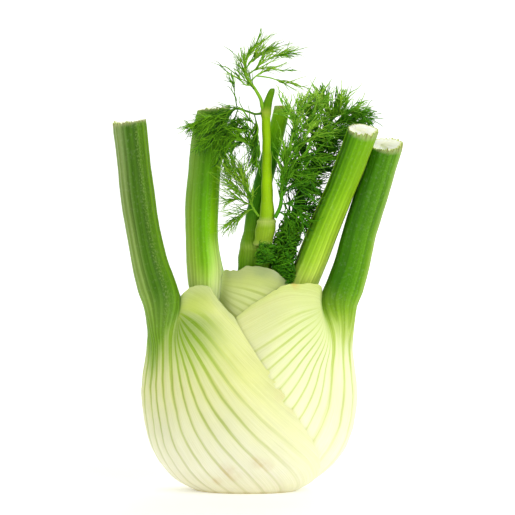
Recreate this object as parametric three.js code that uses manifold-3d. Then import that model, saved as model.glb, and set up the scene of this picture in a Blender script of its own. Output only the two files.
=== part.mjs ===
// A Florence fennel bulb with cut stalks and feathery fronds, standing on its trimmed crown.
// Millimetres, +Z up, origin at the middle of the cut base, -Y towards the viewer.
import * as THREE from 'three';
import { LoftGeometry } from 'three/addons/geometries/LoftGeometry.js';
import { mergeVertices } from 'three/addons/utils/BufferGeometryUtils.js';
import Module from 'manifold-3d';

const wasm = await Module();
wasm.setup();

// Driving dimensions of the bulb
const BULB_WIDTH = 101.8; // across the two ranks of leaves, at the belly
const BULB_DEPTH = 70; // front to back, at the belly
const CROWN_WIDTH = 23; // the cut stem that every sheath grows from
const CROWN_DEPTH = 9;

// Driving dimensions of the leaves
const SHEATH_GAP = 1; // between one leaf sheath and the next
const EDGE_THICKNESS = 0.8; // a sheath's thin margin
const RIB_HEIGHT = 0.32; // how far a rib stands out of a sheath or a stalk
const STALK_FLANK = 150; // degrees from a stalk's outer line to where its wings join it
const FLANK_ROOM = 8; // degrees left between a stalk's outer face and its inner one
const BLEND_START = 56; // height where a sheath starts to turn into its stalk
const BLEND_END = 96;
const HOOD_DEPTH = 22; // a wing's upper edge thins from this far below the foot of its stalk
const HOOD_RISE = 5; // to this far above it
const WING_THINNING = 0.93; // share of its flesh that a wing loses there

// Rows of facets up a sheath, as shares of its height, and along a stalk
const OUTER_ROWS = [0, 0.035, 0.085, 0.16, 0.26, 0.38, 0.52, 0.66, 0.78, 0.89, 1];
const INNER_ROWS = [0, 0.08, 0.26, 0.46, 0.65, 0.8, 0.91, 1];
const STALK_ROWS = 5;

// Driving dimensions of the fronds
const THREAD_ROOT = 0.42; // radius of a thread-like leaflet
const THREAD_TIP = 0.17;
const STEM_ROOM = 0.8; // room kept between a thread's middle and the stems
const THREAD_ROOM = 0.5; // room kept between threads of two fronds

const COLOURS = {
  sheath: 0xe9edb4,
  sheathInner: 0xd3e08c,
  heart: 0x86ad2c,
  shoot: 0x8fba24,
  frond: 0x4a8219,
  frondDark: 0x2d6310,
};

const DEGREE = Math.PI / 180;
const smooth = THREE.MathUtils.smoothstep;

// A smooth curve through pairs of [input, value], level beyond its ends
function graph(pairs) {
  const slope = (i) => {
    const a = pairs[Math.max(i - 1, 0)];
    const b = pairs[Math.min(i + 1, pairs.length - 1)];
    return (b[1] - a[1]) / (b[0] - a[0]);
  };
  return (x) => {
    if (x <= pairs[0][0]) return pairs[0][1];
    const last = pairs.length - 1;
    if (x >= pairs[last][0]) return pairs[last][1];
    let i = 0;
    while (x > pairs[i + 1][0]) i++;
    const span = pairs[i + 1][0] - pairs[i][0];
    const t = (x - pairs[i][0]) / span;
    const bend = (1 - t) * t * span;
    const line = pairs[i][1] + (pairs[i + 1][1] - pairs[i][1]) * t * t * (3 - 2 * t);
    return line + bend * (slope(i) * (1 - t) - slope(i + 1) * t);
  };
}

// The bulb's outline: half its width and half its depth at a height, as shares of the belly's
const widthShare = graph([
  [0, 0.475], [4, 0.628], [9, 0.748], [15, 0.845], [23, 0.93], [32, 0.98], [45, 1],
  [58, 0.983], [68, 0.957], [78, 0.922], [88, 0.842], [98, 0.722], [110, 0.57],
]);
const depthShare = graph([
  [0, 0.485], [4, 0.63], [9, 0.745], [15, 0.84], [23, 0.935], [32, 0.985], [45, 1],
  [58, 0.945], [68, 0.85], [78, 0.725], [88, 0.59], [98, 0.47], [110, 0.355],
]);

// The belly sits a little to the right of the cut base
const bulbShift = graph([[0, -0.8], [5, -0.8], [10, -0.3], [20, 0.5], [34, 1], [110, 1]]);

// A point on the bulb's outline at an angle from the right-hand side, drawn in by an inset
function onBulb(angle, height, inset) {
  return new THREE.Vector3(
    bulbShift(height) + (widthShare(height) * BULB_WIDTH / 2 - inset) * Math.cos(angle),
    (depthShare(height) * BULB_DEPTH / 2 - inset) * Math.sin(angle),
    height,
  );
}

// The leaves, outermost first. Across a leaf, u runs from -1 at its back margin, over its midrib
// at 0, to 1 at its front margin. side is 1 on the left and -1 on the right.
const leaves = [
  {
    name: 'leaf_outer_left',
    rows: OUTER_ROWS,
    gap: () => SHEATH_GAP,
    side: 1,
    midrib: 205,
    ribs: 11.1,
    stalkRibs: 4,
    wingStep: 0.5,
    wingFade: 0.4, // share of a wing that follows the stalk's bulge
    foot: 85, // height of the stalk's foot
    frontSpread: (z) => 190 / (1 + z / 35),
    backSpread: (z) => 230 / (1 + z / 60),
    frontEdge: graph([
      [0, 0.78], [15, 0.87], [34, 0.96], [50, 1.01], [64, 1.02], [75, 0.99], [86, 0.95],
    ]),
    backEdge: graph([[0, 0.68], [20, 0.86], [45, 1], [97, 1]]),
    thickness: graph([[0, 2.6], [12, 4.4], [28, 6.2], [55, 7.2], [75, 9], [95, 13]]),
    top: graph([
      [-1, 72], [-0.75, 83], [-0.5, 85], [-0.3, 84], [0.29, 88], [0.42, 90], [0.5, 92.6],
      [0.57, 94.7], [0.65, 95.4], [0.73, 94.2], [0.78, 91.2], [0.84, 88.2], [0.91, 85.6], [1, 81.5],
    ]),
    stalkX: graph([
      [45, -36], [75, -39.8], [90, -41.4], [104, -45.3], [116, -48], [134, -51], [170.8, -55.2],
    ]),
    stalkY: graph([[45, -10], [75, -9], [90, -8], [120, -6], [170.8, -4]]),
    stalkRadius: graph([[45, 9], [75, 9.6], [90, 9.2], [104, 8.3], [120, 7.9], [170.8, 7.6]]),
    tip: 170.8,
    cut: new THREE.Vector3(0.09, 0.05, 0),
    colour: COLOURS.sheath,
  },
  {
    name: 'leaf_outer_right',
    rows: OUTER_ROWS,
    gap: () => 1.5 * SHEATH_GAP,
    side: -1,
    midrib: 342,
    ribs: 7.5,
    stalkRibs: 3,
    wingStep: 0.5,
    wingFade: 0.4,
    foot: 86,
    frontSpread: (z) => 190 / (1 + z / 35),
    backSpread: (z) => 230 / (1 + z / 60),
    frontEdge: graph([[0, 0.78], [15, 0.9], [45, 1.08], [70, 1.3], [82, 1.42], [97, 1.38]]),
    backEdge: graph([[0, 0.66], [20, 0.86], [45, 1], [97, 1]]),
    thickness: graph([[0, 2.6], [12, 4.2], [28, 6], [55, 7], [75, 9], [95, 13]]),
    top: graph([
      [-1, 70], [-0.75, 82], [-0.5, 84.5], [-0.33, 85], [0.33, 88.5], [0.4, 90.5], [0.46, 94.2],
      [0.54, 95.8], [0.64, 96.4], [0.73, 96], [0.8, 94.6], [0.88, 91.6], [0.94, 87.8], [1, 82],
    ]),
    stalkX: graph([
      [45, 36], [75, 41], [89, 42.5], [104, 47.1], [121, 51.2], [141, 57.4], [160.4, 63.2],
    ]),
    stalkY: graph([[45, -8], [75, -7], [90, -6], [120, -7], [160.4, -11.4]]),
    stalkRadius: graph([[45, 9], [75, 9.6], [89, 9.2], [104, 8.2], [121, 7.9], [160.4, 7.3]]),
    tip: 160.4,
    cut: new THREE.Vector3(0.12, 0.34, 0),
    colour: COLOURS.sheath,
  },
  {
    name: 'leaf_inner_left',
    rows: INNER_ROWS,
    gap: (z) => SHEATH_GAP * (1 + 2 * smooth(z, 15, 50)),
    side: 1,
    midrib: 190,
    ribs: 9,
    stalkRibs: 4,
    wingStep: 1,
    wingFade: 0.25,
    foot: 93,
    frontSpread: (z) => 230 / (1 + z / 100),
    backSpread: (z) => 210 / (1 + z / 90),
    frontEdge: graph([[0, 0.62], [45, 0.86], [85, 1], [110, 1.04]]),
    backEdge: graph([[0, 0.66], [45, 0.9], [85, 0.95], [110, 0.95]]),
    thickness: graph([[0, 2.4], [12, 4], [28, 6], [55, 7.5], [75, 8.5], [95, 12]]),
    top: graph([
      [-1, 78], [-0.7, 92], [-0.45, 94], [0.37, 97.5], [0.46, 98.6], [0.51, 101.4], [0.57, 102],
      [0.66, 104.2], [0.76, 104.6], [0.84, 103.2], [0.92, 99.6], [1, 96.5],
    ]),
    stalkX: graph([
      [45, -26], [75, -21.5], [95, -19.3], [112, -21.6], [128, -21.9], [145, -20.9], [160, -19.3],
      [176.5, -16.3],
    ]),
    stalkY: graph([[45, 0], [75, 0.5], [97, 1], [120, 1], [176.5, 2]]),
    stalkRadius: graph([[45, 8], [80, 8.6], [95, 8.7], [112, 7.8], [130, 7.6], [176.5, 7.7]]),
    tip: 176.5,
    cut: new THREE.Vector3(0.1, 0.02, 0),
    colour: COLOURS.sheathInner,
  },
  {
    name: 'leaf_inner_right',
    rows: INNER_ROWS,
    gap: () => SHEATH_GAP,
    side: -1,
    midrib: 350,
    ribs: 9,
    stalkRibs: 4,
    wingStep: 1,
    wingFade: 0.4,
    foot: 92,
    frontSpread: (z) => 210 / (1 + z / 90),
    backSpread: (z) => 230 / (1 + z / 100),
    frontEdge: graph([[0, 0.6], [45, 0.8], [85, 0.84], [110, 0.84]]),
    backEdge: graph([[0, 0.62], [45, 0.9], [85, 1], [110, 1]]),
    thickness: graph([[0, 2.2], [12, 3.6], [28, 5.5], [55, 7], [75, 8], [95, 11]]),
    top: graph([
      [-1, 82], [-0.7, 94], [-0.5, 95.5], [-0.37, 93], [0.37, 92.5],
      [0.5, 92], [0.7, 86], [1, 72],
    ]),
    stalkX: graph([
      [45, 25], [75, 22], [90, 22.8], [107, 29.1], [125.7, 36.2], [144, 43.6], [167, 52],
    ]),
    stalkY: graph([[45, 1], [75, 1.4], [95, 1.7], [125, -7.4], [167, -22]]),
    stalkRadius: graph([[45, 7.5], [95, 7.1], [125, 6.9], [167, 6.8]]),
    tip: 167,
    cut: new THREE.Vector3(0.05, 0.2, 0),
    colour: COLOURS.sheathInner,
  },
];

// Ribs lie closer together near a leaf's midrib: the rib number at u, and u at a rib number
const ribAt = (leaf, u) => Math.sign(u) * leaf.ribs * Math.log(1 + 1.5 * Math.abs(u));
const ribPlace = (leaf, rib) => Math.sign(rib) * (Math.exp(Math.abs(rib) / leaf.ribs) - 1) / 1.5;

const spread = (leaf, u, z) => (u > 0 ? leaf.frontSpread(z) : leaf.backSpread(z)) * DEGREE;
const angleAt = (leaf, u, z) => leaf.midrib * DEGREE + leaf.side * u * spread(leaf, u, z);

// Where an angle of the bulb falls across a leaf
function placeAcross(leaf, angle, z) {
  const turn = leaf.side * Math.atan2(
    Math.sin(angle - leaf.midrib * DEGREE),
    Math.cos(angle - leaf.midrib * DEGREE),
  );
  return turn / spread(leaf, turn, z);
}

// A sheath is thick along its midrib and thin at its margins
function fleshAt(leaf, u, z) {
  const fall = Math.max(0, 1 - u * u) ** 1.3;
  return EDGE_THICKNESS + (leaf.thickness(z) - EDGE_THICKNESS) * fall;
}

// How far a leaf's outer face lies under the bulb's outline, below the leaves that wrap it
function insetOf(leaf, angle, z) {
  let inset = 0;
  for (const outer of leaves) {
    if (outer === leaf) break;
    inset += fleshAt(outer, placeAcross(outer, angle, z), z) + outer.gap(z);
  }
  return inset;
}

// Ribs fade out over the thin margins
const ribRelief = (leaf, u) =>
  RIB_HEIGHT * Math.cos(2 * Math.PI * ribAt(leaf, u)) * (1 - smooth(Math.abs(u), 0.75, 0.95));

function sheathPoint(leaf, u, z, isInner) {
  const angle = angleAt(leaf, u, z);
  const inset = insetOf(leaf, angle, z);
  return onBulb(angle, z, isInner ? inset + fleshAt(leaf, u, z) : inset - ribRelief(leaf, u));
}

const stalkAxis = (leaf, v) => new THREE.Vector3(leaf.stalkX(v), leaf.stalkY(v), v);

function stalkPoint(leaf, u, v, isInner) {
  const centre = stalkAxis(leaf, v);
  const along = stalkAxis(leaf, v + 1).sub(stalkAxis(leaf, v - 1)).normalize();
  const out = new THREE.Vector3(Math.cos(leaf.midrib * DEGREE), Math.sin(leaf.midrib * DEGREE), 0);
  out.addScaledVector(along, -out.dot(along)).normalize();
  const across = along.clone().cross(out).multiplyScalar(leaf.side);
  const share = THREE.MathUtils.clamp(u / leaf.stalkEdge, -1, 1);
  const innerFlank = 180 - STALK_FLANK - FLANK_ROOM;
  const turn = (isInner ? 180 - share * innerFlank : share * STALK_FLANK) * DEGREE;
  const radius = leaf.stalkRadius(v) + (isInner ? 0 : ribRelief(leaf, u));
  const arm = out.multiplyScalar(Math.cos(turn) * radius).addScaledVector(across, Math.sin(turn) * radius);
  const trim = smooth(v, leaf.tip - 6, leaf.tip) * arm.dot(leaf.cut);
  return centre.add(arm).addScaledVector(along, trim);
}

// A leaf's face: its sheath low down, its stalk high up, and a smooth blend between them.
// Its wings thin towards their upper edge and where they join the stalk.
function leafPoint(leaf, u, z, isInner) {
  const isWing = Math.abs(u) > leaf.stalkEdge;
  const wing = 1 - smooth(Math.abs(u), leaf.stalkEdge, leaf.stalkEdge + leaf.wingFade);
  const blend = smooth(z, BLEND_START, BLEND_END) * wing;
  if (!isInner || !isWing) {
    return sheathPoint(leaf, u, z, isInner).lerp(stalkPoint(leaf, u, z, isInner), blend);
  }
  const hood = smooth(z, leaf.foot - HOOD_DEPTH, leaf.foot + HOOD_RISE);
  const thinning = WING_THINNING * Math.max(blend, hood);
  const flesh = THREE.MathUtils.lerp(fleshAt(leaf, u, z), EDGE_THICKNESS, thinning);
  const outward = onBulb(angleAt(leaf, u, z), z, 0).sub(onBulb(angleAt(leaf, u, z), z, 1));
  return leafPoint(leaf, u, z, false).addScaledVector(outward, -flesh);
}

// A closed sheet with an outer and an inner face over a grid of columns and rows, some cells absent
function thickSheet(columns, rows, outer, inner, isPresent, isMirrored) {
  const positions = [];
  const triangles = [];
  const vertex = [new Map(), new Map()];
  const index = (face, row, column) => {
    const key = row * columns + column;
    if (!vertex[face].has(key)) {
      vertex[face].set(key, positions.length / 3);
      positions.push(...(face ? inner : outer)(row, column).toArray());
    }
    return vertex[face].get(key);
  };
  const quad = (a, b, c, d) => {
    if (isMirrored) triangles.push(a, c, b, a, d, c);
    else triangles.push(a, b, c, a, c, d);
  };
  const isCell = (row, column) =>
    row >= 0 && column >= 0 && row < rows - 1 && column < columns - 1 && isPresent(row, column);
  const rim = (row0, column0, row1, column1) => quad(
    index(0, row1, column1), index(0, row0, column0), index(1, row0, column0), index(1, row1, column1),
  );
  for (let row = 0; row < rows - 1; row++) {
    for (let column = 0; column < columns - 1; column++) {
      if (!isCell(row, column)) continue;
      quad(...[[0, 0], [0, 1], [1, 1], [1, 0]].map(([r, c]) => index(0, row + r, column + c)));
      quad(...[[1, 0], [1, 1], [0, 1], [0, 0]].map(([r, c]) => index(1, row + r, column + c)));
      if (!isCell(row - 1, column)) rim(row, column, row, column + 1);
      if (!isCell(row, column + 1)) rim(row, column + 1, row + 1, column + 1);
      if (!isCell(row + 1, column)) rim(row + 1, column + 1, row + 1, column);
      if (!isCell(row, column - 1)) rim(row + 1, column, row, column);
    }
  }
  const geometry = new THREE.BufferGeometry();
  geometry.setAttribute('position', new THREE.Float32BufferAttribute(positions, 3));
  geometry.setIndex(triangles);
  return geometry;
}

// One leaf: a sheath wrapped round the bulb that narrows into a cut stalk
function leafGeometry(leaf) {
  leaf.stalkEdge = ribPlace(leaf, leaf.stalkRibs);
  const across = [];
  const lastRib = ribAt(leaf, 1);
  for (let rib = 0; rib < lastRib - 0.3; rib += rib < leaf.stalkRibs ? 0.5 : leaf.wingStep) {
    across.push(ribPlace(leaf, rib));
  }
  across.push(1);
  const columns = [...across.slice(1).map((u) => -u).reverse(), ...across];
  const lastSheathRow = leaf.rows.length - 1;
  const point = (row, column, isInner) => {
    const w = columns[column];
    const top = leaf.top(w);
    if (row > lastSheathRow) {
      const height = THREE.MathUtils.lerp(top, leaf.tip, (row - lastSheathRow) / STALK_ROWS);
      return leafPoint(leaf, w, height, isInner);
    }
    const height = leaf.rows[row] * top;
    const edge = w > 0 ? leaf.frontEdge(height) : leaf.backEdge(height);
    return leafPoint(leaf, w + (edge - 1) * w ** 3, height, isInner);
  };
  const isStalk = (column) =>
    Math.abs(columns[column] + columns[column + 1]) / 2 < leaf.stalkEdge;
  return thickSheet(
    columns.length,
    leaf.rows.length + STALK_ROWS,
    (row, column) => point(row, column, false),
    (row, column) => point(row, column, true),
    (row, column) => row < lastSheathRow || isStalk(column),
    leaf.side < 0,
  );
}

const group = new THREE.Group();

function addMesh(name, geometry, colour, roughness = 0.45) {
  geometry.computeVertexNormals();
  const material = new THREE.MeshStandardMaterial({ color: colour, roughness, metalness: 0 });
  const mesh = new THREE.Mesh(geometry, material);
  mesh.name = name;
  group.add(mesh);
}

// Between a geometry and a solid that can be joined and cut
function toSolid(geometry) {
  const bare = new THREE.BufferGeometry();
  bare.setAttribute('position', geometry.getAttribute('position'));
  bare.setIndex(geometry.getIndex());
  const welded = mergeVertices(bare, 1e-4);
  return new wasm.Manifold(new wasm.Mesh({
    numProp: 3,
    vertProperties: new Float32Array(welded.getAttribute('position').array),
    triVerts: new Uint32Array(welded.getIndex().array),
  }));
}

function toGeometry(solid) {
  const body = solid.decompose().sort((a, b) => b.volume() - a.volume())[0];
  const mesh = body.getMesh();
  const geometry = new THREE.BufferGeometry();
  geometry.setAttribute('position', new THREE.Float32BufferAttribute(mesh.vertProperties, 3));
  geometry.setIndex([...mesh.triVerts]);
  return geometry;
}

for (const leaf of leaves) addMesh(leaf.name, leafGeometry(leaf), leaf.colour);

// A stem with level sections, from rings of [height, x, y, half width, half depth]
function stemGeometry(rings, sides) {
  const sections = rings.map(([height, x, y, halfWidth, halfDepth = halfWidth]) => {
    const section = [];
    for (let side = 0; side < sides; side++) {
      const turn = (side / sides) * 2 * Math.PI;
      section.push(new THREE.Vector3(
        x + halfWidth * Math.cos(turn), y + halfDepth * Math.sin(turn), height,
      ));
    }
    return section;
  });
  return new LoftGeometry(sections, { capStart: true, capEnd: true });
}

const heartRings = [
  [0, 0, 0, CROWN_WIDTH / 2, CROWN_DEPTH / 2],
  [12, 0.4, 0, 15, 8],
  [30, 0.6, 0, 19, 12.5],
  [48, 0.8, 0, 19.5, 13.5],
  [62, 1, 0, 15.5, 11],
  [75, 1.5, 0.4, 10.2, 7.6],
  [86, 2.4, 0.4, 7.4, 5.2],
  [98, 2.4, 0.4, 7.6, 5.4],
  [108, 2.8, 0.8, 8.2, 6.4],
  [112.2, 3, 0.7, 8.2, 6.5],
  [113, 3, 0.7, 7.6, 6],
  [113.4, 0.2, 3.6, 5.4, 4.6],
  [117, 0.2, 3.7, 4.9, 4.5],
  [130, 3.3, 4.3, 4.6, 4.3],
  [155, 9.7, 5, 4.2, 4],
  [178.5, 15.7, 5.5, 3.7, 3.6],
];
addMesh('heart', stemGeometry(heartRings, 20), COLOURS.heart);

const shootRings = [
  [113.8, 6.3, -3.6, 4.1],
  [114.9, 6.5, -3.7, 4.75],
  [116.4, 6.8, -3.8, 4.4],
  [120.5, 7.5, -3.9, 4.75],
  [124, 8.1, -4, 4.2],
  [125, 8.2, -4, 4.5],
  [126.2, 8.3, -4, 3.5],
  [134.8, 8.4, -3.8, 2.8],
  [158, 8.1, -3.4, 2.1],
  [172.5, 7.8, -3, 2],
  [175, 7.8, -3, 2.5],
  [177, 8.1, -3, 1.9],
  [181, 9, -2.8, 1.7],
  [185.5, 10.6, -2.5, 1.3],
];
addMesh('shoot', stemGeometry(shootRings, 12), COLOURS.shoot);

// What the fronds must stay clear of: upright stems, each with its middle and radius at a height
const ringGraph = (rings, part) => graph(rings.map((ring) => [ring[0], ring[part]]));
const stems = [
  ...leaves.map((leaf) => ({
    from: 96,
    to: leaf.tip + 1,
    x: leaf.stalkX,
    y: leaf.stalkY,
    radius: (z) => leaf.stalkRadius(z) * 1.06,
  })),
  ...[heartRings, shootRings].map((rings) => ({
    from: rings[0][0],
    to: rings[rings.length - 1][0] + 0.5,
    x: ringGraph(rings, 1),
    y: ringGraph(rings, 2),
    radius: ringGraph(rings, 3),
  })),
];

function clearOfStems(point, room) {
  return stems.every((stem) => {
    if (point.z < stem.from || point.z > stem.to) return true;
    const gap = Math.hypot(point.x - stem.x(point.z), point.y - stem.y(point.z));
    return gap > stem.radius(point.z) + room;
  });
}

// Low down, the fronds stay behind the thin top of the inner left sheath
const clearOfSheaths = (point) =>
  point.z > 108 || point.y > 5.5 - depthShare(point.z) * BULB_DEPTH / 2;

// A run of draws that is the same each time
function seededDraws(seed) {
  let state = seed;
  return () => {
    state = (state * 1664525 + 1013904223) % 4294967296;
    return state / 4294967296;
  };
}

// A tapered twig along a curve, with a few flat sides
function twigGeometry(curve, rootRadius, tipRadius, sides, steps) {
  const frames = curve.computeFrenetFrames(steps, false);
  const sections = [];
  for (let step = 0; step <= steps; step++) {
    const centre = curve.getPointAt(step / steps);
    const radius = THREE.MathUtils.lerp(rootRadius, tipRadius, step / steps);
    const section = [];
    for (let side = 0; side < sides; side++) {
      const turn = (side / sides) * 2 * Math.PI;
      section.push(centre.clone()
        .addScaledVector(frames.normals[step], Math.cos(turn) * radius)
        .addScaledVector(frames.binormals[step], Math.sin(turn) * radius));
    }
    sections.push(section);
  }
  return new LoftGeometry(sections, { capStart: true, capEnd: true });
}

// Fronds: a rib of [x, y, z] points, its branches, and how its threads are set along them
const fronds = [
  {
    name: 'frond_top',
    seed: 11,
    rib: [[5.5, -4.7, 178.2], [5.2, -4.8, 181.4], [2.3, -5, 186.6], [-0.9, -5, 190.7], [-1.9, -5, 194.6],
      [-1.2, -4.6, 199], [1, -4, 203], [4, -3.4, 206]],
    radius: 1.15,
    branches: [
      [[1.2, -5, 187.6], [-2, -5.4, 188], [-4, -5.8, 190.5], [-4.6, -6, 193.5], [-4, -6, 197]],
      [[0.2, -5, 189], [4.2, -5.6, 192.6], [8.8, -6, 194.9], [12.5, -6.4, 194.8], [16.7, -6.4, 193.6]],
      [[3.4, -5.4, 192], [9.7, -6.6, 191], [14.4, -7, 189.5], [20, -7.4, 188.6]],
      [[-1.3, -5, 192], [2.8, -4.2, 195], [6, -3.6, 198], [11, -3, 201], [16.2, -2.6, 202.2]],
      [[-1.8, -5, 195], [1.4, -3.4, 199], [4.2, -2.4, 201.6], [10, -1.4, 204.6]],
    ],
    thread: 8.5,
    spacing: 7.4,
    colour: COLOURS.frond,
  },
  {
    name: 'frond_left_upper',
    seed: 24,
    rib: [[5.1, -4.7, 174.6], [2.6, -7, 174.4], [-1, -9, 175.6], [-5.6, -10.4, 176.8], [-10, -10.8, 175.6],
      [-15.3, -11, 173.4], [-21.3, -10.6, 170.6], [-27, -10, 167.5]],
    radius: 0.8,
    branches: [
      [[-8, -10.7, 176.3], [-15.8, -11, 176.6], [-21.3, -10.6, 175], [-26, -10, 172]],
      [[-9, -10.8, 175.9], [-12.5, -11.2, 168.4], [-17.2, -11.2, 163.8], [-22, -10.6, 159.5]],
      [[-5, -10.3, 176.7], [-7, -10.6, 171.2], [-9.7, -10.8, 165.2], [-11.4, -10.8, 158.6],
        [-10.7, -10.4, 152.4]],
      [[-0.6, -9, 175.5], [-1.4, -10, 169.8], [-4.2, -10.4, 164.3], [-7.9, -10.6, 160]],
      [[2.4, -7.2, 174.5], [2.3, -9, 168.8], [3.4, -9, 161.9], [3, -8.6, 154.5]],
      [[-5.4, -10.4, 176.8], [-7, -10.8, 182.4], [-7.4, -11, 188.2]],
    ],
    thread: 8.5,
    spacing: 7.6,
    colour: COLOURS.frond,
  },
  {
    name: 'frond_left_lower',
    seed: 37,
    rib: [[4.4, -7.8, 127.4], [2.3, -9.4, 130.5], [0.6, -10, 134.6], [-0.8, -10.4, 140], [-3.4, -10.6, 146.2],
      [-6.6, -10.6, 150.6]],
    radius: 0.8,
    branches: [
      [[0.5, -10, 135], [-3.4, -10.6, 137.4], [-7, -10.8, 139.8], [-10.2, -10.6, 141.6]],
      [[1.2, -9.8, 132.8], [-2.6, -10.4, 133.6], [-6.4, -10.6, 135.2], [-10, -10.4, 135]],
      [[2.2, -9.4, 130.6], [-2.3, -10.4, 129.6], [-6, -10.6, 127.4], [-9.8, -10.4, 124.6]],
      [[-1, -10.4, 140.6], [-5, -10.8, 143], [-8.6, -11, 144.6], [-11, -10.8, 147]],
    ],
    thread: 6,
    spacing: 6.6,
    colour: COLOURS.frond,
  },
  {
    name: 'frond_right_slender',
    seed: 41,
    rib: [[12, -7.2, 126.6], [14.4, -8, 132], [15.3, -8.4, 139.7], [16.7, -8.6, 149], [18, -8.8, 156.8],
      [20, -9, 163.8], [21.8, -9, 171.2], [23.7, -9, 177.7], [25.4, -9, 184]],
    radius: 0.95,
    branches: [
      [[17.9, -8.8, 156], [22.7, -10.4, 160], [29.2, -11, 162.9], [36, -11, 165.4]],
      [[17, -8.7, 151], [21.8, -10.4, 153], [27, -11, 154.5], [32.4, -11, 153.4]],
      [[16, -8.6, 145], [20.4, -10.4, 147], [24.6, -11, 146.6], [28.6, -11, 144.4]],
      [[15.2, -8.4, 138], [19, -10, 140.5], [23, -10.8, 141], [26.4, -10.8, 138.6]],
      [[20, -9, 164], [24.6, -9.8, 168.4], [29.2, -10, 174], [33, -10, 179.6], [35.6, -10, 185]],
      [[21.4, -9, 170], [19, -9.8, 175.4], [17.6, -10, 181]],
      [[23.2, -9, 176], [27.4, -9.4, 182.4], [30.4, -9.6, 188]],
    ],
    thread: 8,
    spacing: 9.6,
    colour: COLOURS.frond,
  },
  {
    name: 'frond_right_broad',
    seed: 53,
    rib: [[13.9, 3.4, 102], [16, 5.8, 108], [18.4, 6.6, 116], [20, 6.2, 124], [22.3, 5, 132.2],
      [25.5, 3.4, 140.6], [29.2, 2.4, 149.9], [33, 1.6, 159.2], [36.7, 0.8, 168.4], [39.9, 0.4, 176.8],
      [43, 0, 184.6]],
    radius: 2.2,
    branches: [
      [[38.8, 0.5, 174], [44.5, -0.6, 178.6], [50, -1.4, 179.8], [56, -2, 178.4]],
      [[36.4, 0.9, 167.6], [42.2, -0.6, 171.2], [46.9, -1.4, 174], [52, -2, 174.6]],
      [[38, 0.6, 171.6], [35.6, -0.6, 180], [33.8, -1.2, 185], [32.4, -1.6, 190]],
      [[32.6, 1.7, 158.2], [31, -0.4, 164.7], [29.2, -1.6, 170.6], [28, -2, 176]],
      [[32, 1.8, 156.8], [36.7, -1, 160], [40, -2, 162.6], [44, -2.2, 163.4]],
      [[28.6, 2.5, 148.4], [26, 0.4, 154.5], [24.6, -1, 160]],
      [[27, 3, 144.2], [31, 0.6, 147], [34.6, -0.6, 148.4], [38, -1, 147.6]],
    ],
    thread: 8,
    spacing: 9.6,
    colour: COLOURS.frondDark,
  },
];

// The curly young frond: two leafy lumps of threads packed on small cores, with a short stem
const curly = {
  name: 'frond_curly',
  seed: 67,
  stem: [[11.9, -3.4, 100], [13.6, -3, 103.5], [15.4, -2.6, 107]],
  bridge: [[14, -4, 105], [11, -7.6, 107.4], [7.6, -9, 109]],
  lumps: [
    [[101.6, 14, -2.6, 1.6], [104, 14.8, -2.6, 3.1], [109, 16.2, -2.6, 4.2], [115, 18.4, -2.8, 4.6],
      [120, 20, -3, 4], [124, 21, -3, 1.8]],
    [[106, 6.8, -8.4, 1.2, 0.9], [108.4, 7.2, -9.2, 3, 1.7], [111, 7.8, -9.8, 3.2, 2],
      [113, 8, -9.8, 1.6, 1.2]],
  ],
  threads: [42, 18],
  reach: 3.4,
  colour: COLOURS.frondDark,
};

const asCurve = (points) => new THREE.CatmullRomCurve3(points.map((p) => new THREE.Vector3(...p)));

// Beads along a twig stand for it when another frond's threads look for room
function beadsAlong(start, end, radius, node) {
  const count = Math.max(2, Math.ceil(start.distanceTo(end) / 0.7));
  return Array.from({ length: count + 1 }, (_, i) => ({
    centre: start.clone().lerp(end, i / count), radius, node,
  }));
}

const beads = [];
for (const frond of fronds) {
  frond.lines = [frond.rib, ...frond.branches].map((points, i) => {
    const curve = asCurve(points);
    const rootRadius = i ? Math.min(0.6, frond.radius * 0.7) : frond.radius;
    const tipRadius = i ? 0.3 : Math.max(0.4, frond.radius * 0.3);
    const steps = Math.max(3, points.length - 1);
    const spots = curve.getSpacedPoints(24);
    for (let s = 0; s < 24; s++) beads.push(...beadsAlong(spots[s], spots[s + 1], rootRadius, frond.name));
    return { curve, rootRadius, tipRadius, steps, isRib: i === 0 };
  });
}

const hasRoom = (ownBeads, node) => ownBeads.every((bead) =>
  clearOfStems(bead.centre, STEM_ROOM) && clearOfSheaths(bead.centre)
  && beads.every((other) => other.node === node
    || other.centre.distanceTo(bead.centre) > other.radius + bead.radius + THREAD_ROOM));

// Threads stand in pairs along a line, turned about it by a draw, and reach on past its end
function setThreads(frond, line, draw) {
  const length = line.curve.getLength();
  const solids = [];
  const pairs = Math.max(2, Math.round(length / frond.spacing));
  for (let pair = 0; pair <= pairs; pair++) {
    const t = THREE.MathUtils.clamp((pair + 0.5) / (pairs + 0.5), 0, 1);
    if (line.isRib && t < 0.3) continue;
    const root = line.curve.getPointAt(t);
    const along = line.curve.getTangentAt(t);
    const level = new THREE.Vector3(0, -1, 0);
    const across = along.clone().cross(level).normalize();
    for (const side of t < 1 ? [-1, 1] : [0]) {
      for (let attempt = 0; attempt < 6; attempt++) {
        const fork = (32 + 30 * draw()) * DEGREE * side;
        const lift = (draw() - 0.45) * 1.1;
        const reach = frond.thread * (0.65 + 0.6 * draw()) * (1 - 0.35 * t);
        const aim = along.clone().multiplyScalar(Math.cos(fork))
          .addScaledVector(across, Math.sin(fork))
          .addScaledVector(level, lift)
          .normalize();
        const tip = root.clone().addScaledVector(aim, reach);
        const own = beadsAlong(root.clone().lerp(tip, 0.15), tip, THREAD_ROOT, frond.name);
        if (!hasRoom(own, frond.name)) continue;
        beads.push(...own);
        const thread = new THREE.LineCurve3(root, tip);
        solids.push(toSolid(twigGeometry(thread, THREAD_ROOT, THREAD_TIP, 3, 1)));
        break;
      }
    }
  }
  return solids;
}

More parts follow.
